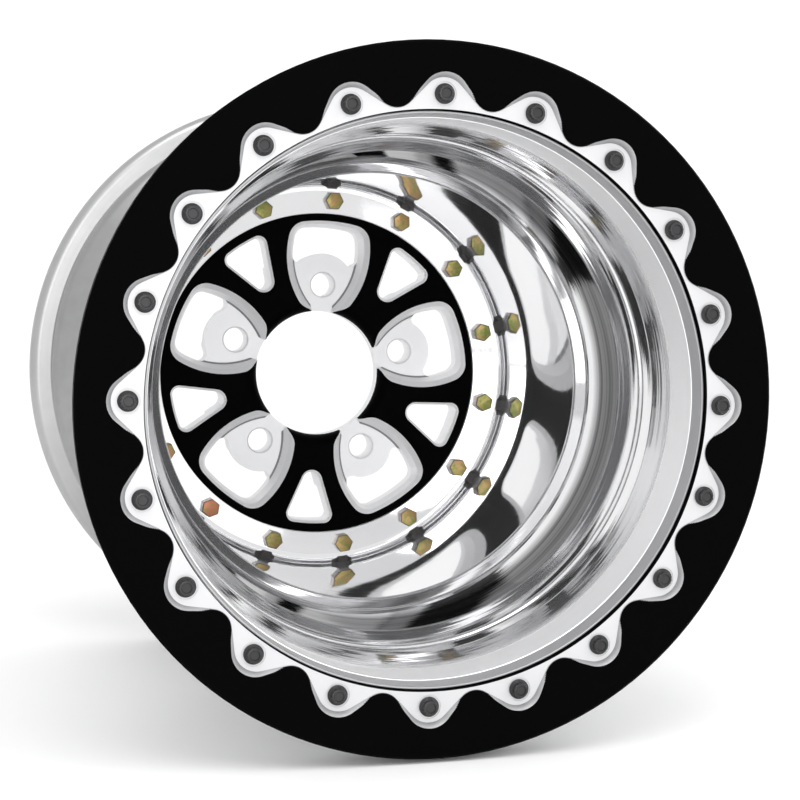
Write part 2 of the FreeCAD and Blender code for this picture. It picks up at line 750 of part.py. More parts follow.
def valve_pieces():
    """Clamp-in valve: base and stem, seal, washer, nut, core, cap and cap seal."""
    wall_outside = drum_radius + shell_wall
    washer_top = math.sqrt(drum_radius ** 2 - valve_washer_radius ** 2)
    washer_end = washer_top - valve_washer_thickness
    nut_end = washer_end - valve_nut_height
    stem_end = washer_top - valve_stem_reach
    base_start = wall_outside + valve_seal_thickness
    base_end = base_start + valve_base_thickness
    drum_plug = disc(wall_outside, clamp_seat_y, flange_back_y)
    stem = valve_plug(valve_stem_radius, stem_end, base_end)
    stem = stem.fuse(valve_plug(valve_base_radius, base_start, base_end))
    air_way = valve_plug(valve_core_radius, stem_end - 1, base_end + 1)
    pieces = {}
    pieces["valve_stem"] = stem.cut(air_way)
    grip = valve_plug(valve_base_radius, wall_outside - 1, base_start).cut(drum_plug)
    neck = valve_plug(valve_hole_radius, washer_top, wall_outside + 1)
    seal_bore = valve_plug(valve_stem_radius, washer_top - 1, base_end + 1)
    pieces["valve_seal"] = grip.fuse(neck).cut(seal_bore).removeSplitter()
    fit_bore = valve_plug(valve_stem_radius + valve_stem_fit, washer_end - 1, washer_top + 1)
    pieces["valve_washer"] = valve_plug(valve_washer_radius, washer_end, washer_top).cut(fit_bore)
    nut = valve_hex(valve_nut_across_flats, nut_end, washer_end)
    pieces["valve_nut"] = nut.cut(valve_plug(valve_stem_radius, nut_end - 1, washer_end + 1))
    core_start = stem_end + valve_core_set_back
    pieces["valve_core"] = valve_plug(valve_core_radius, core_start, core_start + valve_core_length)
    cap_start = stem_end - valve_cap_seal_thickness - valve_cap_top
    cap = valve_plug(valve_cap_radius, cap_start, cap_start + valve_cap_height)
    cap_bore = valve_plug(valve_stem_radius, cap_start + valve_cap_top, washer_top)
    pieces["valve_cap"] = cap.cut(cap_bore)
    pieces["valve_cap_seal"] = valve_plug(valve_stem_radius, stem_end - valve_cap_seal_thickness,
                                          stem_end)
    return pieces


def wheel():
    """Every piece of the wheel by its node name."""
    outer_rim = outer_half()
    inner_rim = inner_half()
    pieces = {"clamp_ring": clamp_ring(), "lock_ring": lock_ring(), "outer_rim_half": outer_rim}
    pieces["inner_rim_half"] = inner_rim
    pieces["wheel_centre"] = centre()
    pieces["rim_sealant"] = sealant(outer_rim, inner_rim)
    locks = {"lock_bolts": lock_bolt(), "thread_inserts": thread_insert()}
    for name, shape in locks.items():
        pieces[name] = Part.makeCompound(ring_of(shape, lock_bolt_count, lock_bolt_turn))
    joints = {"assembly_bolts": hex_bolt(), "assembly_washers": washer()}
    joints["assembly_nuts"] = lock_nut()
    joints["nut_nylon_rings"] = nylon_ring()
    for name, shape in joints.items():
        pieces[name] = Part.makeCompound(ring_of(shape, hex_bolt_count, centre_turn))
    pieces.update(valve_pieces())
    return pieces


os.makedirs("parts", exist_ok=True)
for node, shape in wheel().items():
    shape.exportStep(os.path.join("parts", node + ".step"))
    print(node, len(shape.Solids), "solid(s),", round(shape.Volume), "mm3,", "valid", shape.isValid())
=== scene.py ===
import logging
import math
from dataclasses import dataclass
from enum import Enum
from typing import Sequence

import bmesh
import bpy
from mathutils import Matrix, Vector


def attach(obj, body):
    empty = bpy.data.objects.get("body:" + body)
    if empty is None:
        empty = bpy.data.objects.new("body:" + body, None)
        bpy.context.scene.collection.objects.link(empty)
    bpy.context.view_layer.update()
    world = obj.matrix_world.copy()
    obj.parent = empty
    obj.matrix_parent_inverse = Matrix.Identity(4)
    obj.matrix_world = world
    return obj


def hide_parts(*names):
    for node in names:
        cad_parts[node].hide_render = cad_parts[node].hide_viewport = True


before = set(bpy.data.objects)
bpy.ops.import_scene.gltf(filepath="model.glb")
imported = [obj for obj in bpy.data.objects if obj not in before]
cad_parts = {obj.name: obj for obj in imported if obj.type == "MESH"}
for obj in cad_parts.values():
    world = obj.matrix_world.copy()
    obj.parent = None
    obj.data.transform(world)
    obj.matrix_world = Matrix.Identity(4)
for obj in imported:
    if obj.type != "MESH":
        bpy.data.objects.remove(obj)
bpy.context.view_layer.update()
LOG = logging.getLogger("wheel")

MM = 0.001
CLOSE = 0.01 * MM
MERGE = 0.001 * MM
BODY = "root"
HEX = 6
FAINT = 0.3  # noise value up to which marks count as faint
STRONG = 0.7  # noise value from which marks count as strong
CLOUD_SHARE = 0.06  # fineness of the broad patches as a share of the marks'
Colour = tuple[float, float, float, float]
Point = tuple[float, float, float]
Line = list[Point]


class Slot(Enum):
    """Material slots of the record, named for the new pieces' finishes."""

    POLISHED = "polished_aluminium"
    SATIN = "satin_aluminium"
    BLACK_STEEL = "black_oxide_steel"
    YELLOW_ZINC = "yellow_zinc_steel"
    PLAIN_STEEL = "plain_steel"


class Spread(Enum):
    """Which way a noise pattern runs over a piece."""

    ROUND_THE_AXIS = "round"
    EVERY_WAY = "every"


class Side(Enum):
    """Which way the top of a piece looks, in quarter turns about +X."""

    FRONT = 1
    BACK = -1


class Bevel(Enum):
    """What a bevel rounds off, in Blender's words."""

    EDGES = "EDGES"
    CORNERS = "VERTICES"


class NodeSheet:
    """A shader node tree with short ways to add and join its nodes."""

    def __init__(self, tree: bpy.types.NodeTree) -> None:
        """Start on an empty tree.

        Args:
            tree: The node tree to fill.
        """
        self.tree = tree
        self.tree.nodes.clear()

    def add(self, kind: str, **settings: object) -> bpy.types.Node:
        """Add a node.

        Args:
            kind: Blender's name of the node type.
            settings: Properties to set on the node.

        Returns:
            The new node.
        """
        node = self.tree.nodes.new(kind)
        for name, value in settings.items():
            setattr(node, name, value)
        return node

    def feed(self, target: bpy.types.NodeSocket, source: object) -> None:
        """Join a socket to an input, or set the input to a plain value.

        Args:
            target: The input socket.
            source: An output socket or a value.
        """
        if isinstance(source, bpy.types.NodeSocket):
            self.tree.links.new(source, target)
        else:
            target.default_value = source

    def maths(self, operation: str, *terms: object) -> bpy.types.NodeSocket:
        """Work out a number from one to three terms.

        Args:
            operation: Blender's name of the operation.
            terms: Sockets or numbers.

        Returns:
            The result's socket.
        """
        node = self.add("ShaderNodeMath", operation=operation)
        for target, term in zip(node.inputs, terms):
            self.feed(target, term)
        return node.outputs[0]

    def between(self, value: object, low: float, high: float, start: float,
                end: float) -> bpy.types.NodeSocket:
        """Carry a value from one range to another, held at its ends.

        Args:
            value: The socket to carry.
            low: Start of the range that it comes in.
            high: End of that range.
            start: What low becomes.
            end: What high becomes.

        Returns:
            The result's socket.
        """
        node = self.add("ShaderNodeMapRange")
        for target, term in zip(node.inputs, (value, low, high, start, end)):
            self.feed(target, term)
        return node.outputs[0]

    def blend(self, factor: object, first: object, second: object) -> bpy.types.NodeSocket:
        """Mix two colours.

        Args:
            factor: Share of the second colour.
            first: Socket or colour.
            second: Socket or colour.

        Returns:
            The mixed colour's socket.
        """
        node = self.add("ShaderNodeMix", data_type="RGBA")
        for target, term in zip((node.inputs[0], node.inputs[6], node.inputs[7]), (factor, first, second)):
            self.feed(target, term)
        return node.outputs[2]

    def ramp(self, factor: object, stops: Sequence[tuple[float, Colour]]) -> bpy.types.NodeSocket:
        """Turn a value into a colour by a ramp.

        Args:
            factor: The value.
            stops: Places and colours along the ramp.

        Returns:
            The colour's socket.
        """
        node = self.add("ShaderNodeValToRGB")
        elements = node.color_ramp.elements
        while len(elements) < len(stops):
            elements.new(0.5)
        for element, (place, colour) in zip(elements, stops):
            element.position = place
            element.color = colour
        self.feed(node.inputs[0], factor)
        return node.outputs[0]

    def place(self) -> tuple[bpy.types.NodeSocket, bpy.types.NodeSocket, bpy.types.NodeSocket]:
        """Split the point being shaded, in the wheel's frame, into its three parts.

        Returns:
            The sockets of x, y and z.
        """
        where = self.add("ShaderNodeTexCoord").outputs["Object"]
        split = self.add("ShaderNodeSeparateXYZ")
        self.feed(split.inputs[0], where)
        return split.outputs[0], split.outputs[1], split.outputs[2]

    def radius(self) -> bpy.types.NodeSocket:
        """Work out the distance of the point from the spin axis.

        Returns:
            The distance's socket.
        """
        x, _, z = self.place()
        squares = [self.maths("MULTIPLY", part, part) for part in (x, z)]
        return self.maths("SQRT", self.maths("ADD", *squares))


class NodeGroups:
    """Shared effects, each a node group that is built once."""

    @staticmethod
    def _start(name: str, inputs: Sequence[tuple[str, float]], outputs: Sequence[str]) -> NodeSheet:
        """Open a new group with number sockets.

        Args:
            name: The group's name.
            inputs: Names and starting values.
            outputs: Names.

        Returns:
            The sheet to fill.
        """
        tree = bpy.data.node_groups.new(name, "ShaderNodeTree")
        for label, value in inputs:
            socket = tree.interface.new_socket(label, in_out="INPUT", socket_type="NodeSocketFloat")
            socket.default_value = value
        for label in outputs:
            tree.interface.new_socket(label, in_out="OUTPUT", socket_type="NodeSocketFloat")
        return NodeSheet(tree)

    @classmethod
    def marks(cls, spread: Spread) -> bpy.types.NodeTree:
        """Fine marks, in rings about the spin axis or every way.

        Args:
            spread: Which way the marks run.

        Returns:
            The group, with inputs Fineness and Detail and the output Marks.
        """
        name = "marks_" + spread.value
        if name in bpy.data.node_groups:
            return bpy.data.node_groups[name]
        sheet = cls._start(name, (("Fineness", 400.0), ("Detail", 3.0)), ("Marks",))
        given = sheet.add("NodeGroupInput")
        noise = sheet.add("ShaderNodeTexNoise")
        if spread is Spread.ROUND_THE_AXIS:
            _, y, _ = sheet.place()
            joined = sheet.add("ShaderNodeCombineXYZ")
            sheet.feed(joined.inputs[0], sheet.radius())
            sheet.feed(joined.inputs[1], y)
            sheet.feed(noise.inputs["Vector"], joined.outputs[0])
        else:
            sheet.feed(noise.inputs["Vector"], sheet.add("ShaderNodeTexCoord").outputs["Object"])
        sheet.feed(noise.inputs["Scale"], given.outputs["Fineness"])
        sheet.feed(noise.inputs["Detail"], given.outputs["Detail"])
        out = sheet.add("NodeGroupOutput")
        sheet.feed(out.inputs["Marks"], noise.outputs["Fac"])
        return sheet.tree


@dataclass(frozen=True)
class Finish:
    """A finish with fine marks: the base of every material on the wheel.

    Attributes:
        name: The finish's name, with which its material's name starts.
        low: Colour where the broad patches are faint.
        high: Colour where the broad patches are strong.
        metallic: Metallic value of the shader.
        smooth: Roughness where the marks are faint.
        rough: Roughness where the marks are strong.
        fineness: Marks per metre.
        spread: Which way the marks run.
        relief: Height of the marks in metres.
        specular: Specular level of the part that isn't metal.
    """

    name: str
    low: Colour
    high: Colour
    metallic: float
    smooth: float
    rough: float
    fineness: float
    spread: Spread = Spread.EVERY_WAY
    relief: float = 0.0
    specular: float = 0.5

    def material(self) -> bpy.types.Material:
        """Make the finish as a material on first use, under a name apart from the frame's own.

        Returns:
            The material.
        """
        title = f"{self.name}_finish"
        if title in bpy.data.materials:
            return bpy.data.materials[title]
        material = bpy.data.materials.new(title)
        material.use_nodes = True
        sheet = NodeSheet(material.node_tree)
        shader = sheet.add("ShaderNodeBsdfPrincipled")
        out = sheet.add("ShaderNodeOutputMaterial")
        sheet.feed(out.inputs["Surface"], shader.outputs["BSDF"])
        shader.inputs["Metallic"].default_value = self.metallic
        shader.inputs["Specular IOR Level"].default_value = self.specular
        self.paint(sheet, shader)
        return material

    def marks(self, sheet: NodeSheet, fineness: float, spread: Spread) -> bpy.types.NodeSocket:
        """Place the shared marks in a material.

        Args:
            sheet: The material's nodes.
            fineness: Marks per metre.
            spread: Which way they run.

        Returns:
            The marks' socket.
        """
        group = sheet.add("ShaderNodeGroup", node_tree=NodeGroups.marks(spread))
        group.inputs["Fineness"].default_value = fineness
        return group.outputs["Marks"]

    def own_marks(self, sheet: NodeSheet) -> bpy.types.NodeSocket:
        """Place the finish's own fine marks."""
        return self.marks(sheet, self.fineness, self.spread)

    def cloud(self, sheet: NodeSheet) -> bpy.types.NodeSocket:
        """Place broad soft patches between which the colour drifts."""
        return self.marks(sheet, self.fineness * CLOUD_SHARE, Spread.EVERY_WAY)

    def roughness(self, sheet: NodeSheet, marks: bpy.types.NodeSocket) -> bpy.types.NodeSocket:
        """Let the roughness follow the marks."""
        return sheet.between(marks, FAINT, STRONG, self.smooth, self.rough)

    def paint(self, sheet: NodeSheet, shader: bpy.types.Node) -> None:
        """Join colour, roughness and relief to the shader.

        Args:
            sheet: The material's nodes.
            shader: Its Principled BSDF.
        """
        marks = self.own_marks(sheet)
        cloud = self.cloud(sheet)
        sheet.feed(shader.inputs["Base Color"], sheet.blend(cloud, self.low, self.high))
        sheet.feed(shader.inputs["Roughness"], self.roughness(sheet, marks))
        if self.relief > 0:
            self.emboss(sheet, shader, marks, self.relief)

    @staticmethod
    def emboss(sheet: NodeSheet, shader: bpy.types.Node, height: bpy.types.NodeSocket,
               relief: float) -> None:
        """Join a relief to the shader's normal.

        Args:
            sheet: The material's nodes.
            shader: Its Principled BSDF.
            height: The relief's socket.
            relief: Its height in metres.
        """
        bump = sheet.add("ShaderNodeBump")
        bump.inputs["Strength"].default_value = 1.0
        bump.inputs["Distance"].default_value = relief
        sheet.feed(bump.inputs["Height"], height)
        sheet.feed(shader.inputs["Normal"], bump.outputs["Normal"])


@dataclass(frozen=True)
class Spot:
    """Sockets that say where on the wheel a point lies and which way its face looks.

    Attributes:
        radius: Distance from the spin axis.
        y: Height along the spin axis.
        facing: How squarely the face looks along the axis, from 0 to 1.
        sideways: How much the face looks round the wheel, from 0 to 1.
        outward: How far the face looks away from the axis, from -1 to 1.
        forward: How far the face looks to the front, from -1 to 1.
    """

    radius: bpy.types.NodeSocket
    y: bpy.types.NodeSocket
    facing: bpy.types.NodeSocket
    sideways: bpy.types.NodeSocket
    outward: bpy.types.NodeSocket
    forward: bpy.types.NodeSocket

    @classmethod
    def on(cls, sheet: NodeSheet) -> "Spot":
        """Work the sockets out in a material.

        Args:
            sheet: The material's nodes.

        Returns:
            The sockets.
        """
        x, y, z = sheet.place()
        radius = sheet.radius()
        normal = sheet.add("ShaderNodeSeparateXYZ")
        sheet.feed(normal.inputs[0], sheet.add("ShaderNodeNewGeometry").outputs["True Normal"])
        facing = sheet.maths("ABSOLUTE", normal.outputs[1])
        turn = sheet.maths("SUBTRACT", sheet.maths("MULTIPLY", normal.outputs[0], z),
                           sheet.maths("MULTIPLY", normal.outputs[2], x))
        away = sheet.maths("ADD", sheet.maths("MULTIPLY", normal.outputs[0], x),
                           sheet.maths("MULTIPLY", normal.outputs[2], z))
        sideways = sheet.maths("DIVIDE", sheet.maths("ABSOLUTE", turn), radius)
        outward = sheet.maths("DIVIDE", away, radius)
        return cls(radius, y, facing, sideways, outward, sheet.maths("MULTIPLY", normal.outputs[1], -1.0))


@dataclass(frozen=True)
class Zone:
    """A zone of a turned piece, picked out by place and by the way its faces look. Lengths in metres.

    Attributes:
        inner: Least radius.
        outer: Greatest radius.
        front: Least height along the spin axis.
        back: Greatest height along the spin axis.
        facing: How squarely a face must look along the axis.
        sideways: How much a face may look round the wheel.
    """

    inner: float = 0.0
    outer: float = 1.0
    front: float = -1.0
    back: float = 1.0
    facing: float = -1.0
    sideways: float = 2.0

    @classmethod
    def stair(cls, outer: float, back: float, out: float, forward: float, count: int) -> tuple["Zone", ...]:
        """Zones that climb outwards and to the front, for a coat whose edge slants.

        Args:
            outer: Greatest radius of the first zone.
            back: Greatest height of the first zone.
            out: How much further out each next zone reaches.
            forward: How much further to the front each next zone lies.
            count: Number of zones.

        Returns:
            The zones.
        """
        return tuple(cls(outer=outer + out * i, back=back - forward * i) for i in range(count))

    def mask(self, sheet: NodeSheet, spot: Spot) -> bpy.types.NodeSocket:
        """One inside the zone and nothing outside it.

        Args:
            sheet: The material's nodes.
            spot: Where the point lies.

        Returns:
            The mask's socket.
        """
        never_below, never_above = -1.0, 2.0
        tests = ((spot.radius, self.inner, self.outer), (spot.y, self.front, self.back),
                 (spot.facing, self.facing, never_above), (spot.sideways, never_below, self.sideways))
        inside: object = 1.0
        for value, low, high in tests:
            above = sheet.maths("GREATER_THAN", value, low)
            below = sheet.maths("LESS_THAN", value, high)
            inside = sheet.maths("MULTIPLY", inside, sheet.maths("MULTIPLY", above, below))
        return inside


@dataclass(frozen=True)
class CoatedFinish(Finish):
    """Black coat with bright faces machined through it, with painted shade on steep walls and in creases.

    Attributes:
        black: Colour of the coat.
        coat_rough: Least roughness of the coat.
        coat_drift: How far the coat's roughness drifts.
        coated: Zones that keep the coat.
        wall: Colour of steep machined walls at their foot, where the painted shade is darkest.
        wall_shade_top: Colour of the walls further to the front, where the painted shade is lighter.
        wall_shade_foot: Height along the spin axis where the walls and their painted shade start, in
            metres.
        wall_shade_rise: How far to the front the painted shade lightens, in metres.
        wall_facing: How squarely the steepest walls look along the axis.
        flat_facing: How squarely a face looks that counts as flat.
        crease_shade: Zones of fine painted shade in creases, such as the foot of a pocket's wall.
        crease_shade_colour: Colour of the painted shade in the creases.
    """

    black: Colour = (0.0008, 0.0008, 0.0009, 1.0)
    coat_rough: float = 0.5
    coat_drift: float = 0.06
    coated: tuple[Zone, ...] = ()
    # Painted shade: steep walls get their own colours, darker at their foot.
    wall: Colour = (0.3, 0.3, 0.31, 1.0)
    wall_shade_top: Colour = (0.5, 0.5, 0.51, 1.0)
    wall_shade_foot: float = 0.0
    wall_shade_rise: float = 0.003
    wall_facing: float = 0.6
    flat_facing: float = 0.95
    # Painted shade in creases.
    crease_shade: tuple[Zone, ...] = ()
    crease_shade_colour: Colour = (0.34, 0.34, 0.35, 1.0)

    def paint(self, sheet: NodeSheet, shader: bpy.types.Node) -> None:
        """Mix the bright metal and the black coat by place and by the way a face looks.

        Args:
            sheet: The material's nodes.
            shader: Its Principled BSDF.
        """
        spot = Spot.on(sheet)
        coated = self.anywhere(sheet, spot, self.coated)
        crease_shade = self.anywhere(sheet, spot, self.crease_shade)
        marks = self.own_marks(sheet)
        cloud = self.cloud(sheet)
        # Painted shade: steep walls take the wall colours instead of the flat ones, darker at the foot and
        # lighter to the front.
        rise = sheet.between(spot.y, self.wall_shade_foot, self.wall_shade_foot - self.wall_shade_rise, 0.0, 1.0)
        wall = sheet.blend(rise, self.wall, self.wall_shade_top)
        flat = sheet.between(spot.facing, self.wall_facing, self.flat_facing, 0.0, 1.0)
        bright = sheet.blend(flat, wall, sheet.blend(cloud, self.low, self.high))
        # Painted shade in the creases at the foot of the pockets' walls.
        bright = sheet.blend(crease_shade, bright, self.crease_shade_colour)
        sheet.feed(shader.inputs["Base Color"], sheet.blend(coated, bright, self.black))
        bright_rough = self.roughness(sheet, marks)
        roughest = self.coat_rough + self.coat_drift
        coat_rough = sheet.between(cloud, FAINT, STRONG, self.coat_rough, roughest)
        step = sheet.maths("MULTIPLY", coated, sheet.maths("SUBTRACT", coat_rough, bright_rough))
        sheet.feed(shader.inputs["Roughness"], sheet.maths("ADD", bright_rough, step))
        metal = sheet.maths("MULTIPLY", self.metallic, sheet.maths("SUBTRACT", 1.0, coated))
        sheet.feed(shader.inputs["Metallic"], metal)
        if self.relief > 0:
            self.emboss(sheet, shader, marks, self.relief)

    @staticmethod
    def anywhere(sheet: NodeSheet, spot: Spot, zones: Sequence[Zone]) -> object:
        """One inside any of the zones and nothing outside them.

        Args:
            sheet: The material's nodes.
            spot: Where the point lies.
            zones: The zones to join.

        Returns:
            The mask's socket, or the number 0 if there are no zones.
        """
        mask: object = 0.0
        for zone in zones:
            mask = sheet.maths("MAXIMUM", mask, zone.mask(sheet, spot))
        return mask


@dataclass(frozen=True)
class SpunFinish(Finish):
    """Polished spun metal: a satin lip, rings from the spinning on the lands, a cleaner drum and a painted
    dark reflection on one land.

    Attributes:
        lip_end: Height along the spin axis where the lip's flare ends, in metres.
        lip_colour: Colour of the flare.
        satin_end: Height along the spin axis where the satin lip land ends, in metres.
        satin_lead: How far ahead of its end the satin starts to fade, in metres.
        satin_fade: How far behind its end the satin is gone, in metres.
        satin_colour: Colour of the satin land.
        satin_rough: Roughness of the satin land.
        satin_metallic: Metallic value of the satin land.
        lands_end: Height along the spin axis where the ringed lands end, in metres.
        lands_fade: How far to each side of their end the rings fade, in metres.
        drum_share: Share of the rings' relief that the drum keeps.
        rings_faint: Noise value up to which the rings count as faint for the polish.
        painted_reflection_front: Front of the land that carries a painted dark reflection instead of plain
            polish, in metres.
        painted_reflection_back: Back of that land.
        painted_reflection_rise: How far the painted reflection takes to start, in metres.
        painted_reflection_fall: How far it takes to end, in metres.
        painted_reflection_dark: Darkest streak of the painted reflection.
        painted_reflection_light: Lightest streak of the painted reflection.
        outside_low: Colour of the unpolished outer skin where the rings are faint.
        outside_high: Colour of the outer skin where the rings are strong.
        outside_rough: Roughness of the outer skin.
        skin_start: How far a face looks outwards where the outer skin starts.
        skin_full: How far it looks outwards where the outer skin is full.
    """

    lip_end: float = 0.0
    lip_colour: Colour = (0.5, 0.5, 0.51, 1.0)
    satin_end: float = 0.0
    satin_lead: float = 0.002
    satin_fade: float = 0.006
    satin_colour: Colour = (0.99, 0.99, 1.0, 1.0)
    satin_rough: float = 0.34
    satin_metallic: float = 0.6
    lands_end: float = 0.0
    lands_fade: float = 0.004
    drum_share: float = 0.12
    rings_faint: float = 0.35
    # Painted reflection: the next six values set a dark streaked band on one land of the mirror.
    painted_reflection_front: float = 0.0
    painted_reflection_back: float = 0.0
    painted_reflection_rise: float = 0.002
    painted_reflection_fall: float = 0.012
    painted_reflection_dark: Colour = (0.03, 0.03, 0.03, 1.0)
    painted_reflection_light: Colour = (0.22, 0.22, 0.225, 1.0)
    outside_low: Colour = (0.5, 0.505, 0.515, 1.0)
    outside_high: Colour = (0.62, 0.625, 0.635, 1.0)
    outside_rough: float = 0.3
    skin_start: float = 0.1
    skin_full: float = 0.2

    def paint(self, sheet: NodeSheet, shader: bpy.types.Node) -> None:
        """Join the rings, the satin front, the polish and the outer skin to the shader.

        Args:
            sheet: The material's nodes.
            shader: Its Principled BSDF.
        """
        spot = Spot.on(sheet)
        y = spot.y
        outside = sheet.between(spot.outward, self.skin_start, self.skin_full, 0.0, 1.0)
        rings = self.own_marks(sheet)
        strength = sheet.between(rings, FAINT, STRONG, 0.0, 1.0)
        cloud = self.cloud(sheet)
        on_lip = sheet.maths("LESS_THAN", y, self.lip_end)
        full, gone = self.satin_end - self.satin_lead, self.satin_end + self.satin_fade
        satin = sheet.between(y, full, gone, 1.0, 0.0)
        full, gone = self.lands_end - self.lands_fade, self.lands_end + self.lands_fade
        on_lands = sheet.between(y, full, gone, 1.0, self.drum_share)
        polished = sheet.blend(cloud, self.low, self.high)
        front = sheet.blend(on_lip, self.satin_colour, self.lip_colour)
        # Painted reflection: a dark streaked band on one land stands in for something dark mirrored there.
        reflection_streaks = sheet.blend(strength, self.painted_reflection_dark, self.painted_reflection_light)
        after = sheet.between(y, self.painted_reflection_front, self.painted_reflection_front + self.painted_reflection_rise, 0.0, 1.0)
        before = sheet.between(y, self.painted_reflection_back - self.painted_reflection_fall, self.painted_reflection_back, 1.0, 0.0)
        polished = sheet.blend(sheet.maths("MULTIPLY", after, before), polished, reflection_streaks)
        inside = sheet.blend(satin, polished, front)
        skin = sheet.blend(strength, self.outside_low, self.outside_high)
        sheet.feed(shader.inputs["Base Color"], sheet.blend(outside, inside, skin))
        rough = sheet.between(rings, self.rings_faint, STRONG, self.smooth, self.rough)
        rough = self.towards(sheet, satin, rough, self.satin_rough)
        sheet.feed(shader.inputs["Roughness"], self.towards(sheet, outside, rough, self.outside_rough))
        metal = sheet.between(satin, 0.0, 1.0, self.metallic, self.satin_metallic)
        sheet.feed(shader.inputs["Metallic"], metal)
        self.emboss(sheet, shader, sheet.maths("MULTIPLY", rings, on_lands), self.relief)

    @staticmethod
    def towards(sheet: NodeSheet, share: object, start: object, end: float) -> bpy.types.NodeSocket:
        """Move a value towards another one.

        Args:
            sheet: The material's nodes.
            share: How far to move, from 0 to 1.
            start: The value's socket.
            end: The other value.

        Returns:
            The moved value's socket.
        """
        step = sheet.maths("MULTIPLY", share, sheet.maths("SUBTRACT", end, start))
        return sheet.maths("ADD", start, step)


@dataclass(frozen=True)
class ShadedSeatFinish(Finish):
    """Satin spun metal whose outer skin is painted darker on the bead seat than on the lip, as shade.

    Attributes:
        lip_start: Height along the spin axis where the lip begins, in metres.
        lip_fade: How far to each side of it the tones fade, in metres.
        shaded_seat_low: Painted shade: colour of the seat's outer skin where the patches are faint.
        shaded_seat_high: Painted shade: colour of the seat's outer skin where the patches are strong.
        lip_low: Colour of the lip's outer skin where the patches are faint.
        lip_high: Colour of the lip's outer skin where the patches are strong.
    """

    lip_start: float = 0.0
    lip_fade: float = 0.001
    # Painted shade: the seat's tones are darker than the lip's.
    shaded_seat_low: Colour = (0.29, 0.29, 0.293, 1.0)
    shaded_seat_high: Colour = (0.36, 0.36, 0.363, 1.0)
    lip_low: Colour = (0.4, 0.4, 0.403, 1.0)
    lip_high: Colour = (0.46, 0.46, 0.463, 1.0)

    def paint(self, sheet: NodeSheet, shader: bpy.types.Node) -> None:
        """Join the tones, the roughness and the relief to the shader.

        Args:
            sheet: The material's nodes.
            shader: Its Principled BSDF.
        """
        spot = Spot.on(sheet)
        marks = self.own_marks(sheet)
        cloud = self.cloud(sheet)
        first, last = self.lip_start - self.lip_fade, self.lip_start + self.lip_fade
        on_lip = sheet.between(spot.y, first, last, 0.0, 1.0)
        outer_skin = sheet.maths("GREATER_THAN", sheet.maths("ADD", spot.outward, spot.forward), 0.0)
        # Painted shade: the seat's slope is darker than the lip.
        seat = sheet.blend(cloud, self.shaded_seat_low, self.shaded_seat_high)
        lip = sheet.blend(cloud, self.lip_low, self.lip_high)
        outside = sheet.blend(on_lip, seat, lip)
        inside = sheet.blend(cloud, self.low, self.high)
        sheet.feed(shader.inputs["Base Color"], sheet.blend(outer_skin, inside, outside))
        sheet.feed(shader.inputs["Roughness"], self.roughness(sheet, marks))
        self.emboss(sheet, shader, marks, self.relief)


@dataclass(frozen=True)
class ZincFinish(Finish):
    """Yellow zinc: a thin film whose colour drifts from straw to green and pink, with painted shade on the
    sides.

    Attributes:
        side: Colour of the head's sides on the drum's side: the darker painted shade.
        shaded_inner_side: Colour of the head's sides on the hub's side: a lighter painted shade.
        circle_start: Radius where the one side's colour gives way to the other's, in metres.
        circle_end: Radius where it has done so.
        side_facing: How squarely the steepest sides look along the axis.
        flat_facing: How squarely a face looks that counts as flat.
        pink: Colour at the low end of the drift.
        green: Colour at its high end.
        stops: Places of pink, the two base colours and green along the drift.
        drift_fineness: Patches of colour per metre.
        drift_share: Share of the patches in the drift, beside the fine marks.
    """

    # Painted shade: the heads' sides are darker than their tops, darkest towards the drum.
    side: Colour = (0.05, 0.043, 0.038, 1.0)
    shaded_inner_side: Colour = (0.24, 0.21, 0.19, 1.0)
    circle_start: float = 0.1335
    circle_end: float = 0.1395
    side_facing: float = 0.75
    flat_facing: float = 0.95
    pink: Colour = (0.5, 0.17, 0.11, 1.0)
    green: Colour = (0.17, 0.21, 0.05, 1.0)
    stops: tuple[float, ...] = (0.38, 0.45, 0.53, 0.6)
    drift_fineness: float = 28.0
    drift_share: float = 0.6

    def paint(self, sheet: NodeSheet, shader: bpy.types.Node) -> None:
        """Join the drifting film colours to the shader.

        Args:
            sheet: The material's nodes.
            shader: Its Principled BSDF.
        """
        spot = Spot.on(sheet)
        drift = self.marks(sheet, self.drift_fineness, Spread.EVERY_WAY)
        fine = self.own_marks(sheet)
        broad = sheet.maths("MULTIPLY", drift, self.drift_share)
        mixed = sheet.maths("ADD", broad, sheet.maths("MULTIPLY", fine, 1.0 - self.drift_share))
        film = sheet.ramp(mixed, list(zip(self.stops, (self.pink, self.high, self.low, self.green))))
        # Painted shade: steep sides take the side colours, darker on the drum's side.
        flat = sheet.between(spot.facing, self.side_facing, self.flat_facing, 0.0, 1.0)
        outside = sheet.between(spot.radius, self.circle_start, self.circle_end, 0.0, 1.0)
        sides = sheet.blend(outside, self.shaded_inner_side, self.side)
        sheet.feed(shader.inputs["Base Color"], sheet.blend(flat, sides, film))
        sheet.feed(shader.inputs["Roughness"], self.roughness(sheet, fine))
        self.emboss(sheet, shader, fine, self.relief)


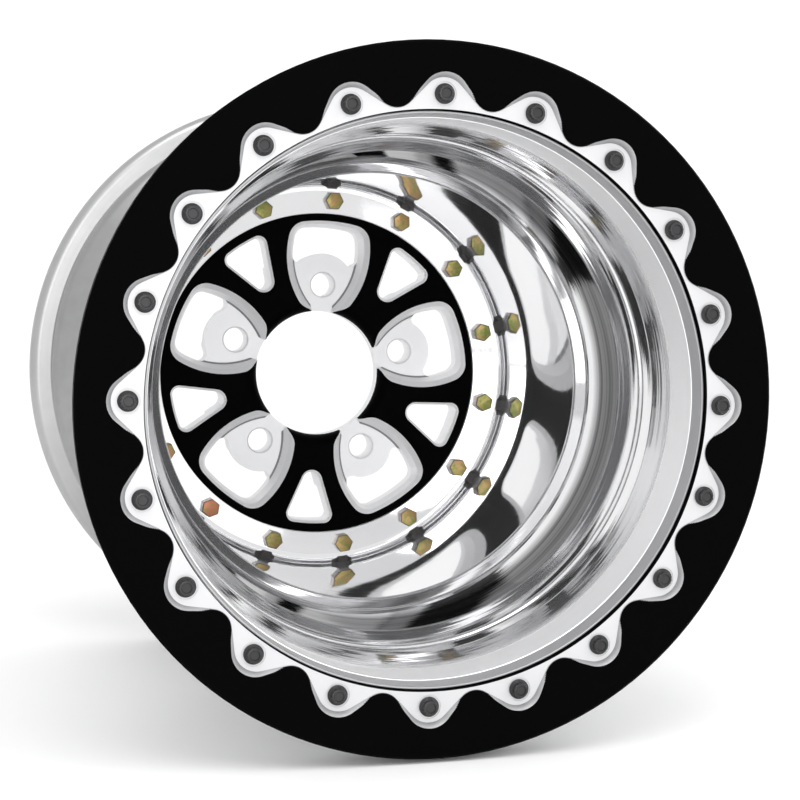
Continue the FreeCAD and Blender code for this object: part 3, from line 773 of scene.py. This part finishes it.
# The land between the last two heights carries a painted dark reflection.
MIRROR = SpunFinish(
    "mirror_aluminium", low=(0.77, 0.77, 0.78, 1.0), high=(0.82, 0.82, 0.83, 1.0), metallic=0.93,
    smooth=0.03, rough=0.07, fineness=260.0, spread=Spread.ROUND_THE_AXIS, relief=0.00004, lip_end=-0.3606,
    satin_end=-0.3266, lands_end=-0.2117, painted_reflection_front=-0.2695, painted_reflection_back=-0.229)
SATIN = ShadedSeatFinish(
    "satin_aluminium", low=(0.52, 0.52, 0.525, 1.0), high=(0.62, 0.62, 0.625, 1.0), metallic=1.0,
    smooth=0.3, rough=0.4, fineness=1400.0, spread=Spread.ROUND_THE_AXIS, relief=0.000004, lip_start=0.0405)
TURNED = Finish(
    "turned_aluminium", low=(0.66, 0.67, 0.68, 1.0), high=(0.74, 0.75, 0.76, 1.0), metallic=1.0, smooth=0.2,
    rough=0.3, fineness=2200.0, spread=Spread.ROUND_THE_AXIS, relief=0.000006)
BLACK_STEEL = Finish(
    "black_oxide_steel", low=(0.032, 0.032, 0.033, 1.0), high=(0.06, 0.06, 0.062, 1.0), metallic=0.7,
    smooth=0.32, rough=0.48, fineness=900.0, relief=0.000006)
ZINC = ZincFinish(
    "yellow_zinc", low=(0.25, 0.235, 0.08, 1.0), high=(0.37, 0.23, 0.1, 1.0), metallic=0.8, smooth=0.28,
    rough=0.42, fineness=500.0, relief=0.000006)
BRIGHT_ZINC = Finish(
    "bright_zinc", low=(0.58, 0.59, 0.6, 1.0), high=(0.7, 0.7, 0.7, 1.0), metallic=1.0, smooth=0.25,
    rough=0.38, fineness=700.0, relief=0.000004)
NYLON = Finish(
    "nylon", low=(0.72, 0.72, 0.68, 1.0), high=(0.8, 0.8, 0.76, 1.0), metallic=0.0, smooth=0.42,
    rough=0.55, fineness=900.0, relief=0.000004)
SEALANT = Finish(
    "sealant", low=(0.4, 0.4, 0.4, 1.0), high=(0.5, 0.5, 0.49, 1.0), metallic=0.0, smooth=0.5,
    rough=0.65, fineness=260.0, relief=0.00012)
RUBBER = Finish(
    "rubber", low=(0.018, 0.018, 0.018, 1.0), high=(0.03, 0.03, 0.03, 1.0), metallic=0.0, smooth=0.55,
    rough=0.7, fineness=900.0, relief=0.00001)
BRASS = Finish(
    "brass", low=(0.66, 0.48, 0.2, 1.0), high=(0.76, 0.58, 0.28, 1.0), metallic=1.0, smooth=0.22,
    rough=0.34, fineness=900.0, relief=0.000004)
CAP_PLASTIC = Finish(
    "cap_plastic", low=(0.02, 0.02, 0.02, 1.0), high=(0.03, 0.03, 0.03, 1.0), metallic=0.0, smooth=0.38,
    rough=0.5, fineness=900.0, relief=0.000008)
# The ring's walls are painted darker than its flats and darkest at their foot, as shade.
RING_COAT = CoatedFinish(
    "ring_coat", low=(0.62, 0.62, 0.63, 1.0), high=(0.66, 0.66, 0.67, 1.0), metallic=0.45, smooth=0.38,
    rough=0.46, fineness=700.0, specular=0.02, wall_shade_foot=-0.376,
    coated=(Zone(back=-0.37625, facing=0.9), Zone(inner=0.2012), Zone(outer=0.1768), Zone(front=-0.3755),
            *Zone.stair(outer=0.1835, back=-0.3764, out=0.0012, forward=0.0004, count=5)))
# The centre's walls are a little darker at their foot, and the crease by the lug pads darker still: painted
# shade.
CENTRE_COAT = CoatedFinish(
    "centre_coat", low=(0.84, 0.84, 0.85, 1.0), high=(0.88, 0.88, 0.89, 1.0), metallic=0.5, smooth=0.4,
    rough=0.48, fineness=700.0, specular=0.02, wall=(0.93, 0.93, 0.94, 1.0),
    wall_shade_top=(0.98, 0.98, 0.98, 1.0), wall_shade_foot=-0.02, wall_shade_rise=0.014,
    coated=(Zone(back=-0.0342, facing=0.9), Zone(outer=0.06, back=-0.0233, sideways=0.15),
            Zone(front=-0.0115, back=-0.009, facing=0.9)),
    crease_shade=(Zone(outer=0.121, front=-0.0222, back=-0.0208, facing=0.5),))
PAPER = Finish(
    "studio_paper", low=(0.94, 0.94, 0.94, 1.0), high=(0.96, 0.96, 0.96, 1.0), metallic=0.0, smooth=0.75,
    rough=0.9, fineness=60.0)


class Mesher:
    """Mesh steps that several pieces share."""

    @staticmethod
    def piece(name: str, mesh: bmesh.types.BMesh, sharp_angle: float = 32.0) -> bpy.types.Object:
        """Turn a bmesh into an object of the scene with smooth faces and sharp edges.

        Args:
            name: The piece's name.
            mesh: The finished bmesh, which is freed.
            sharp_angle: Edges sharper than this, in degrees, stay crisp.

        Returns:
            The new object.
        """
        bmesh.ops.remove_doubles(mesh, verts=mesh.verts[:], dist=MERGE)
        data = bpy.data.meshes.new(name)
        mesh.to_mesh(data)
        mesh.free()
        data.polygons.foreach_set("use_smooth", [True] * len(data.polygons))
        data.set_sharp_from_angle(angle=math.radians(sharp_angle))
        item = bpy.data.objects.new(name, data)
        bpy.context.scene.collection.objects.link(item)
        return item

    @staticmethod
    def finish(item: bpy.types.Object, finish: Finish, slot: Slot, node: str) -> None:
        """Give a piece its material and tie it to the frame.

        Args:
            item: The piece.
            finish: Its finish.
            slot: The record's slot it belongs to; not used.
            node: The CAD node that it stands for.
        """
        item.data.materials.append(finish.material())
        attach(item, BODY)
        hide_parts(node)
        LOG.info("%s: %d faces", item.name, len(item.data.polygons))

    @staticmethod
    def chain(mesh: bmesh.types.BMesh, points: Sequence[Point],
              closed: bool = False) -> tuple[list[bmesh.types.BMVert], list[bmesh.types.BMEdge]]:
        """Draw a line of straight runs.

        Args:
            mesh: The bmesh to draw in.
            points: The line's corners in metres.
            closed: Whether the last corner joins the first.

        Returns:
            The line's vertices and its edges.
        """
        corners = [mesh.verts.new(point) for point in points]
        ends = corners[1:] + corners[:1] if closed else corners[1:]
        return corners, [mesh.edges.new(pair) for pair in zip(corners, ends)]

    @staticmethod
    def round_off(mesh: bmesh.types.BMesh, picked: list, reach: float, segments: int,
                  bevel: Bevel = Bevel.EDGES) -> None:
        """Round off edges or corners.

        Args:
            mesh: The bmesh that holds them.
            picked: The edges, or the corners' vertices.
            reach: How far the round reaches, in metres.
            segments: Steps across the round.
            bevel: Whether edges or corners were picked.
        """
        bmesh.ops.bevel(mesh, geom=picked, offset=reach, offset_type="OFFSET", segments=segments,
                        profile=0.5, affect=bevel.value, material=-1)

    @classmethod
    def rounded_line(cls, mesh: bmesh.types.BMesh, line: Line, segments: int) -> None:
        """Draw a profile of straight runs with rounded corners.

        Args:
            mesh: The bmesh to draw in.
            line: Radius, height along the axis and bend radius of each corner, in mm.
            segments: Steps in each bend.
        """
        corners, _ = cls.chain(mesh, [(radius * MM, y * MM, 0.0) for radius, y, _ in line])
        for i in range(1, len(line) - 1):
            back = Vector(line[i - 1][:2]) - Vector(line[i][:2])
            ahead = Vector(line[i + 1][:2]) - Vector(line[i][:2])
            reach = line[i][2] * MM / math.tan(back.angle(ahead) / 2)
            if reach > 0:
                cls.round_off(mesh, [corners[i]], reach, segments, Bevel.CORNERS)

    @staticmethod
    def full_turn(mesh: bmesh.types.BMesh, drawn: list, axis: Point, steps: int) -> None:
        """Spin a drawn line a full turn.

        Args:
            mesh: The bmesh that holds the line.
            drawn: The line's vertices and edges.
            axis: The axis through the origin.
            steps: Steps in the turn.
        """
        bmesh.ops.spin(mesh, geom=drawn, cent=(0, 0, 0), axis=axis, dvec=(0, 0, 0), angle=math.tau,
                       steps=steps, use_merge=True)

    @staticmethod
    def wall(mesh: bmesh.types.BMesh, thickness: float) -> None:
        """Thicken a spun skin on the side away from the spin axis.

        Args:
            mesh: The bmesh that holds the skin.
            thickness: The wall in mm.
        """
        bmesh.ops.recalc_face_normals(mesh, faces=mesh.faces[:])
        lean = 0.0
        for face in mesh.faces:
            centre = face.calc_center_median()
            lean += face.normal.dot(Vector((centre.x, 0.0, centre.z))) * face.calc_area()
        if lean > 0:
            bmesh.ops.reverse_faces(mesh, faces=mesh.faces[:])
        bmesh.ops.solidify(mesh, geom=mesh.faces[:], thickness=thickness * MM)

    @staticmethod
    def loops_at(mesh: bmesh.types.BMesh, y: float) -> list[bmesh.types.BMEdge]:
        """Find the edges that run round the wheel at one height.

        Args:
            mesh: The bmesh to search.
            y: The height along the spin axis in mm.

        Returns:
            The edges.
        """
        found = []
        for edge in mesh.edges:
            first, last = (corner.co for corner in edge.verts)
            level = abs(first.y - y * MM) < CLOSE and abs(last.y - y * MM) < CLOSE
            if level and abs(first.xz.length - last.xz.length) < CLOSE:
                found.append(edge)
        return found

    @staticmethod
    def ring_of(mesh: bmesh.types.BMesh, count: int, first: float) -> None:
        """Turn what is drawn to its first place and repeat it round the wheel.

        Args:
            mesh: The bmesh that holds one copy, on +X.
            count: Number of copies.
            first: Angle of the first copy in degrees, counter-clockwise from the front.
        """
        start = Matrix.Rotation(-math.radians(first), 3, "Y")
        bmesh.ops.rotate(mesh, verts=mesh.verts[:], cent=(0, 0, 0), matrix=start)
        drawn = mesh.verts[:] + mesh.edges[:] + mesh.faces[:]
        bmesh.ops.spin(mesh, geom=drawn, cent=(0, 0, 0), axis=(0, 1, 0), dvec=(0, 0, 0),
                       angle=math.tau * (count - 1) / count, steps=count - 1, use_duplicate=True)

    @staticmethod
    def lay(mesh: bmesh.types.BMesh, side: Side, place: Point) -> None:
        """Lay a piece drawn along +Z so that its top looks to one side, and move it.

        Args:
            mesh: The bmesh that holds the piece.
            side: Where its top looks.
            place: Where its foot goes, in mm.
        """
        quarter = Matrix.Rotation(side.value * math.pi / 2, 3, "X")
        bmesh.ops.rotate(mesh, verts=mesh.verts[:], cent=(0, 0, 0), matrix=quarter)
        bmesh.ops.translate(mesh, verts=mesh.verts[:], vec=Vector(place) * MM)

    @staticmethod
    def upright(edge: bmesh.types.BMEdge) -> bool:
        """Tell whether an edge of a piece drawn along +Z climbs by more than a millimetre."""
        return abs(edge.verts[0].co.z - edge.verts[1].co.z) > MM

    @staticmethod
    def prism(mesh: bmesh.types.BMesh, sides: int, radius: float, low: float, high: float,
              notch: float = 1.0) -> bmesh.types.BMFace:
        """Raise a prism along +Z, star-shaped if every second corner is drawn in.

        Args:
            mesh: The bmesh to draw in.
            sides: Corners of the outline.
            radius: Radius of the corners in mm.
            low: Height of its foot in mm.
            high: Height of its top in mm.
            notch: Share of the radius that every second corner keeps.

        Returns:
            The top face.
        """
        made = bmesh.ops.create_circle(mesh, cap_ends=True, segments=sides, radius=radius * MM,
                                       matrix=Matrix.Translation((0, 0, low * MM)))
        if notch < 1.0:
            bmesh.ops.scale(mesh, vec=(notch, notch, 1.0), verts=made["verts"][1::2])
        foot = made["verts"][0].link_faces[0]
        raised = bmesh.ops.extrude_face_region(mesh, geom=[foot])
        top = [item for item in raised["geom"] if isinstance(item, bmesh.types.BMFace)][0]
        bmesh.ops.translate(mesh, verts=top.verts[:], vec=(0, 0, (high - low) * MM))
        return top


@dataclass
class PolishedBarrel:
    """Outer rim half: the mirror-polished stepped dish and its bolting flange. Sizes in mm.

    Each land gives the radius of a corner, its depth behind the lip and its bend.
    """

    lip_y: float = -372.3
    flange_y: float = -35.9
    flange_inner: float = 125.8
    flange_bend: float = 8.0
    wall: float = 3.2
    lip_mouth: float = 174.8
    lip_throat: float = 173.2
    lip_depth: float = 11.7
    lip_step: float = 0.3
    lip_round: float = 0.35
    lip_round_steps: int = 3
    lip_radius: float = 172.8
    drum_radius: float = 151.0
    lands: tuple[Point, ...] = (
        (172.8, 45.7, 5.0), (167.3, 63.7, 5.0), (167.3, 80.1, 1.5), (165.0, 82.1, 3.6), (165.0, 94.7, 5.0),
        (159.2, 103.7, 5.0), (154.8, 153.1, 4.0), (147.5, 160.6, 4.0))
    bend_steps: int = 8
    turn_steps: int = 360
    sharp_angle: float = 25.0

    def line(self) -> Line:
        """Lay out the inner line of the dish, from the lip back to the flange.

        Returns:
            The line's corners.
        """
        front, lip = self.lip_y, self.lip_radius
        line = [(lip, front, 0.0), (lip, front + self.lip_depth, 0.0)]
        line += [(lip, front + self.lip_depth + self.lip_step, 0.0)]
        line += [(radius, front + depth, bend) for radius, depth, bend in self.lands]
        line += [(self.drum_radius, self.flange_y, self.flange_bend)]
        line += [(self.flange_inner, self.flange_y, 0.0)]
        return line

    def build(self) -> bpy.types.Object:
        """Spin the dish, give it its wall and open the lip.

        Returns:
            The finished piece.
        """
        mesh = bmesh.new()
        Mesher.rounded_line(mesh, self.line(), self.bend_steps)
        Mesher.full_turn(mesh, mesh.verts[:] + mesh.edges[:], (0, 1, 0), self.turn_steps)
        Mesher.wall(mesh, self.wall)
        self.open_loop(mesh, self.lip_y, self.lip_mouth)
        self.open_loop(mesh, self.lip_y + self.lip_depth, self.lip_throat)
        rim = Mesher.loops_at(mesh, self.lip_y)
        Mesher.round_off(mesh, rim, self.lip_round * MM, self.lip_round_steps)
        return Mesher.piece("polished_barrel", mesh, self.sharp_angle)

    def open_loop(self, mesh: bmesh.types.BMesh, y: float, radius: float) -> None:
        """Widen one inner loop of the lip.

        Args:
            mesh: The bmesh of the barrel.
            y: Where the loop is, in mm.
            radius: Its new radius in mm.
        """
        inside = (self.lip_radius + self.wall / 2) * MM
        level = [corner for corner in mesh.verts if abs(corner.co.y - y * MM) < CLOSE]
        loop = [corner for corner in level if corner.co.xz.length < inside]
        grow = radius / self.lip_radius
        bmesh.ops.scale(mesh, vec=(grow, 1.0, grow), verts=loop)

    def dress(self, item: bpy.types.Object) -> None:
        """Give the barrel its polish."""
        Mesher.finish(item, MIRROR, Slot.POLISHED, "outer_rim_half")


@dataclass
class RearBarrel:
    """Inner rim half: flange, short drum, slope, bead seat and curled lip. Sizes in mm."""

    flange_back: float = -17.5
    flange_inner: float = 125.8
    flange_bend: float = 6.0
    drum_radius: float = 151.0
    drum_end: float = -3.5
    hump_radius: float = 200.8
    hump_start: float = 17.3
    hump_end: float = 25.3
    seat_start: float = 28.9
    seat_radius: float = 199.6
    lip_face: float = 44.5
    lip_radius: float = 216.8
    rear_edge: float = 50.8
    lip_bend: float = 4.4
    bend: float = 5.0
    wall: float = 3.2
    edge_round: float = 1.0
    edge_round_steps: int = 4
    bend_steps: int = 6
    turn_steps: int = 300
    sharp_angle: float = 30.0

    def line(self) -> Line:
        """Lay out the inner line of the rear half, from the flange back to the lip.

        Returns:
            The line's corners.
        """
        drum, hump, seat, bend = self.drum_radius, self.hump_radius, self.seat_radius, self.bend
        line = [(self.flange_inner, self.flange_back, 0.0), (drum, self.flange_back, self.flange_bend)]
        line += [(drum, self.drum_end, bend + self.wall), (hump, self.hump_start, bend)]
        line += [(hump, self.hump_end, bend), (seat, self.seat_start, bend)]
        line += [(seat, self.lip_face, bend), (self.lip_radius, self.lip_face, self.lip_bend)]
        line += [(self.lip_radius, self.rear_edge, 0.0)]
        return line

    def build(self) -> bpy.types.Object:
        """Spin the rear half and give it its wall.

        Returns:
            The finished piece.
        """
        mesh = bmesh.new()
        Mesher.rounded_line(mesh, self.line(), self.bend_steps)
        Mesher.full_turn(mesh, mesh.verts[:] + mesh.edges[:], (0, 1, 0), self.turn_steps)
        Mesher.wall(mesh, self.wall)
        rim = Mesher.loops_at(mesh, self.rear_edge)
        Mesher.round_off(mesh, rim, self.edge_round * MM, self.edge_round_steps)
        return Mesher.piece("rear_barrel", mesh, self.sharp_angle)

    def dress(self, item: bpy.types.Object) -> None:
        """Give the rear half its satin finish."""
        Mesher.finish(item, SATIN, Slot.SATIN, "inner_rim_half")


@dataclass
class LockBolts:
    """Flanged twelve-point bolts of the clamp ring. Sizes in mm, turn of the first one in degrees."""

    count: int = 20
    circle: float = 186.0
    turn: float = 16.56
    seat_y: float = -375.6
    flange_radius: float = 6.2
    flange_height: float = 1.6
    flange_chamfer: float = 0.5
    foot_chamfer: float = 0.3
    skirt_height: float = 2.8
    point_radius: float = 4.7
    star_corners: int = 24
    star_sink: float = 0.4
    notch: float = 0.9
    head_height: float = 5.5
    crown_round: float = 0.45
    crown_steps: int = 2
    cup_radius: float = 0.75
    cup_wall: float = 0.3
    cup_depth: float = 0.7
    shank_radius: float = 3.175
    shank_length: float = 22.5
    shank_chamfer: float = 0.6
    turn_steps: int = 36

    def profile(self) -> list[tuple[float, float]]:
        """Lay out half of the bolt below its star.

        Returns:
            Radius and height of each corner.
        """
        shank, outer, chamfer = self.shank_radius, self.flange_radius, self.flange_chamfer
        profile = [(0.0, -self.shank_length), (shank - self.shank_chamfer, -self.shank_length)]
        profile += [(shank, self.shank_chamfer - self.shank_length), (shank, 0.0)]
        profile += [(outer - self.foot_chamfer, 0.0), (outer, self.foot_chamfer)]
        profile += [(outer, self.flange_height - chamfer), (outer - chamfer, self.flange_height)]
        profile += [(self.point_radius, self.skirt_height), (0.0, self.skirt_height)]
        return profile

    def build(self) -> bpy.types.Object:
        """Make one bolt and repeat it round the clamp ring.

        Returns:
            The finished piece.
        """
        mesh = bmesh.new()
        Mesher.chain(mesh, [(radius * MM, 0.0, height * MM) for radius, height in self.profile()])
        Mesher.full_turn(mesh, mesh.verts[:] + mesh.edges[:], (0, 0, 1), self.turn_steps)
        foot = self.skirt_height - self.star_sink
        top = Mesher.prism(mesh, self.star_corners, self.point_radius, foot, self.head_height, self.notch)
        Mesher.round_off(mesh, top.edges[:], self.crown_round * MM, self.crown_steps)
        crown = max(mesh.faces, key=lambda face: face.calc_center_median().z + face.calc_area())
        bmesh.ops.inset_region(mesh, faces=[crown], thickness=self.cup_radius * MM, use_even_offset=True)
        bmesh.ops.inset_region(mesh, faces=[crown], thickness=self.cup_wall * MM,
                               depth=-self.cup_depth * MM, use_even_offset=True)
        bmesh.ops.remove_doubles(mesh, verts=mesh.verts[:], dist=MERGE)
        bmesh.ops.recalc_face_normals(mesh, faces=mesh.faces[:])
        Mesher.lay(mesh, Side.FRONT, (self.circle, self.seat_y, 0.0))
        Mesher.ring_of(mesh, self.count, self.turn)
        return Mesher.piece("lock_bolt_set", mesh)

    def dress(self, item: bpy.types.Object) -> None:
        """Give the bolts their black oxide."""
        Mesher.finish(item, BLACK_STEEL, Slot.BLACK_STEEL, "lock_bolts")


@dataclass
class AssemblyBolts:
    """Yellow zinc hex bolts that join the rim halves and the centre.

    Sizes in mm, turn of the first one in degrees.
    """

    count: int = 15
    circle: float = 135.5
    turn: float = 13.45
    seat_y: float = -35.9
    across_flats: float = 12.7
    head_height: float = 7.0
    washer_face: float = 0.4
    washer_inset: float = 0.15
    washer_sink: float = 0.05
    washer_sides: int = 36
    crown_round: float = 0.9
    crown_steps: int = 4
    corner_round: float = 0.35
    corner_steps: int = 3
    mark_count: int = 3
    mark_length: float = 1.9
    mark_width: float = 0.45
    mark_height: float = 0.16
    mark_start: float = 2.2
    shank_radius: float = 3.97
    shank_end: float = 30.7
    shank_sink: float = 0.1
    shank_sides: int = 24

    def build(self) -> bpy.types.Object:
        """Make one bolt with its head marks and repeat it round the flange.

        Returns:
            The finished piece.
        """
        mesh = bmesh.new()
        Mesher.prism(mesh, HEX, self.across_flats / math.sqrt(3), self.washer_face, self.head_height)
        corners = [edge for edge in mesh.edges if Mesher.upright(edge)]
        Mesher.round_off(mesh, corners, self.corner_round * MM, self.corner_steps)
        top = max(mesh.faces, key=lambda face: face.calc_center_median().z)
        Mesher.round_off(mesh, top.edges[:], self.crown_round * MM, self.crown_steps)
        washer_radius = self.across_flats / 2 - self.washer_inset
        Mesher.prism(mesh, self.washer_sides, washer_radius, 0.0, self.washer_face + self.washer_sink)
        Mesher.prism(mesh, self.shank_sides, self.shank_radius, -self.shank_end, self.shank_sink)
        for i in range(self.mark_count):
            self.head_mark(mesh, math.tau * i / self.mark_count)
        bmesh.ops.recalc_face_normals(mesh, faces=mesh.faces[:])
        Mesher.lay(mesh, Side.FRONT, (self.circle, self.seat_y, 0.0))
        Mesher.ring_of(mesh, self.count, self.turn)
        return Mesher.piece("assembly_bolt_set", mesh)

    def head_mark(self, mesh: bmesh.types.BMesh, angle: float) -> None:
        """Raise one radial strength mark on the head.

        Args:
            mesh: The bmesh of the bolt.
            angle: Where the mark points, in radians.
        """
        middle = (self.mark_start + self.mark_length / 2) * MM
        sides = Vector((self.mark_length, self.mark_width, self.mark_height * 2)) * MM
        place = Matrix.Rotation(angle, 4, "Z") @ Matrix.Translation((middle, 0, self.head_height * MM))
        bmesh.ops.create_cube(mesh, size=1.0, matrix=place @ Matrix.Diagonal(sides).to_4x4())

    def dress(self, item: bpy.types.Object) -> None:
        """Give the bolts their yellow zinc."""
        Mesher.finish(item, ZINC, Slot.YELLOW_ZINC, "assembly_bolts")


@dataclass
class LockNuts:
    """Hex lock nuts with round collars behind the rear flange.

    Sizes in mm, turn of the first one in degrees.
    """

    count: int = 15
    circle: float = 135.5
    turn: float = 13.45
    seat_y: float = -15.9
    across_flats: float = 12.7
    hex_height: float = 6.7
    hex_round: float = 0.5
    hex_round_steps: int = 3
    collar_height: float = 2.4
    collar_radius: float = 5.7
    collar_flare: float = 0.4
    collar_chamfer: float = 0.6
    collar_sink: float = 0.2
    ring_radius: float = 5.07
    turn_steps: int = 36

    def collar(self) -> list[tuple[float, float]]:
        """Lay out the cross-section of the collar.

        Returns:
            Radius and height of each corner.
        """
        foot, end = self.hex_height - self.collar_sink, self.hex_height + self.collar_height
        section = [(self.ring_radius, foot), (self.ring_radius, end)]
        section += [(self.collar_radius - self.collar_flare, end)]
        section += [(self.collar_radius, end - self.collar_chamfer)]
        section += [(self.collar_radius + self.collar_flare, foot)]
        return section

    def build(self) -> bpy.types.Object:
        """Make one nut and repeat it round the rear flange.

        Returns:
            The finished piece.
        """
        mesh = bmesh.new()
        Mesher.prism(mesh, HEX, self.across_flats / math.sqrt(3), 0.0, self.hex_height)
        rims = [edge for edge in mesh.edges if not Mesher.upright(edge)]
        Mesher.round_off(mesh, rims, self.hex_round * MM, self.hex_round_steps)
        points = [(radius * MM, 0.0, height * MM) for radius, height in self.collar()]
        corners, edges = Mesher.chain(mesh, points, closed=True)
        Mesher.full_turn(mesh, corners + edges, (0, 0, 1), self.turn_steps)
        bmesh.ops.recalc_face_normals(mesh, faces=mesh.faces[:])
        Mesher.lay(mesh, Side.BACK, (self.circle, self.seat_y, 0.0))
        Mesher.ring_of(mesh, self.count, self.turn)
        return Mesher.piece("lock_nut_set", mesh)

    def dress(self, item: bpy.types.Object) -> None:
        """Give the nuts their bright zinc."""
        Mesher.finish(item, BRIGHT_ZINC, Slot.PLAIN_STEEL, "assembly_nuts")


class PackedNodes:
    """Finishes of the CAD nodes that show as they are."""

    finishes: dict[str, Finish] = {
        "clamp_ring": RING_COAT, "wheel_centre": CENTRE_COAT, "lock_ring": TURNED,
        "thread_inserts": BRIGHT_ZINC, "assembly_washers": BRIGHT_ZINC, "nut_nylon_rings": NYLON,
        "rim_sealant": SEALANT, "valve_stem": TURNED, "valve_seal": RUBBER, "valve_washer": BRIGHT_ZINC,
        "valve_nut": TURNED, "valve_core": BRASS, "valve_cap": CAP_PLASTIC, "valve_cap_seal": RUBBER,
    }

    def dress(self) -> None:
        """Put each node's finish in its material slots."""
        for name, finish in self.finishes.items():
            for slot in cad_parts[name].material_slots:
                slot.material = finish.material()
            LOG.info("%s: %s", name, finish.name)


@dataclass(frozen=True)
class SoftBox:
    """A square lamp. Sizes in metres, power in watts."""

    name: str
    place: Point
    size: float
    power: float

    def hang(self, aim: Point) -> None:
        """Hang the lamp so that it looks at a point.

        Args:
            aim: The point.
        """
        lamp = bpy.data.lights.new(self.name, "AREA")
        lamp.size = self.size
        lamp.energy = self.power
        item = bpy.data.objects.new(self.name, lamp)
        item.location = self.place
        item.rotation_euler = (Vector(aim) - Vector(self.place)).to_track_quat("-Z", "Y").to_euler()
        bpy.context.scene.collection.objects.link(item)


@dataclass
class Studio:
    """Pale floor and backdrop, soft light and the camera. Sizes in metres."""

    floor_z: float = -0.22
    width: float = 14.0
    front: float = -6.0
    back: float = 3.0
    sweep: float = 1.5
    sweep_steps: int = 16
    height: float = 5.0
    sharp_angle: float = 60.0
    boxes: tuple[SoftBox, ...] = (
        SoftBox("key_box", (-0.4, -1.9, 2.5), size=1.6, power=24.0),
        SoftBox("fill_box", (1.9, -1.4, 1.2), size=1.6, power=16.0),
        SoftBox("dish_box", (-0.5, -2.4, 0.4), size=1.2, power=11.0))
    aim: Point = (0.0, -0.2, 0.0)
    eye: Point = (-0.29498, -1.4282, 0.07816)
    ahead: Point = (0.24969, 0.96583, -0.06945)
    lens: float = 81.42
    sensor: float = 36.0
    view_end: float = 50.0

    def build(self) -> None:
        """Make the whole studio."""
        self.backdrop()
        self.world()
        for box in self.boxes:
            box.hang(self.aim)
        self.camera()

    def backdrop(self) -> None:
        """Sweep a pale floor up into a backdrop."""
        mesh = bmesh.new()
        profile = [(self.front, self.floor_z), (self.back, self.floor_z), (self.back, self.height)]
        corners, _ = Mesher.chain(mesh, [(-self.width / 2, y, z) for y, z in profile])
        Mesher.round_off(mesh, [corners[1]], self.sweep, self.sweep_steps, Bevel.CORNERS)
        made = bmesh.ops.extrude_edge_only(mesh, edges=mesh.edges[:])
        moved = [item for item in made["geom"] if isinstance(item, bmesh.types.BMVert)]
        bmesh.ops.translate(mesh, verts=moved, vec=(self.width, 0, 0))
        bmesh.ops.recalc_face_normals(mesh, faces=mesh.faces[:])
        item = Mesher.piece("studio_sweep", mesh, self.sharp_angle)
        item.data.materials.append(PAPER.material())

    @staticmethod
    def world() -> None:
        """Light the room evenly from all round."""
        world = bpy.data.worlds.new("studio_world")
        bpy.context.scene.world = world
        world.use_nodes = True
        sheet = NodeSheet(world.node_tree)
        light = sheet.add("ShaderNodeBackground")
        light.inputs["Color"].default_value = (1.0, 1.0, 1.0, 1.0)
        light.inputs["Strength"].default_value = 1.0
        out = sheet.add("ShaderNodeOutputWorld")
        sheet.feed(out.inputs["Surface"], light.outputs["Background"])

    def camera(self) -> None:
        """Set the camera at the photograph's viewpoint."""
        data = bpy.data.cameras.new("photo_camera")
        data.lens = self.lens
        data.sensor_width = self.sensor
        data.clip_end = self.view_end
        item = bpy.data.objects.new("photo_camera", data)
        item.location = self.eye
        item.rotation_euler = Vector(self.ahead).to_track_quat("-Z", "Y").to_euler()
        bpy.context.scene.collection.objects.link(item)
        bpy.context.scene.camera = item
        bpy.context.scene.view_settings.view_transform = "Standard"


def main() -> None:
    """Build and dress every sub-assembly in order."""
    logging.basicConfig(level=logging.INFO, format="%(message)s")
    Studio().build()
    PackedNodes().dress()
    for part in (PolishedBarrel(), RearBarrel(), LockBolts(), AssemblyBolts(), LockNuts()):
        part.dress(part.build())


if __name__ == "__main__":
    main()
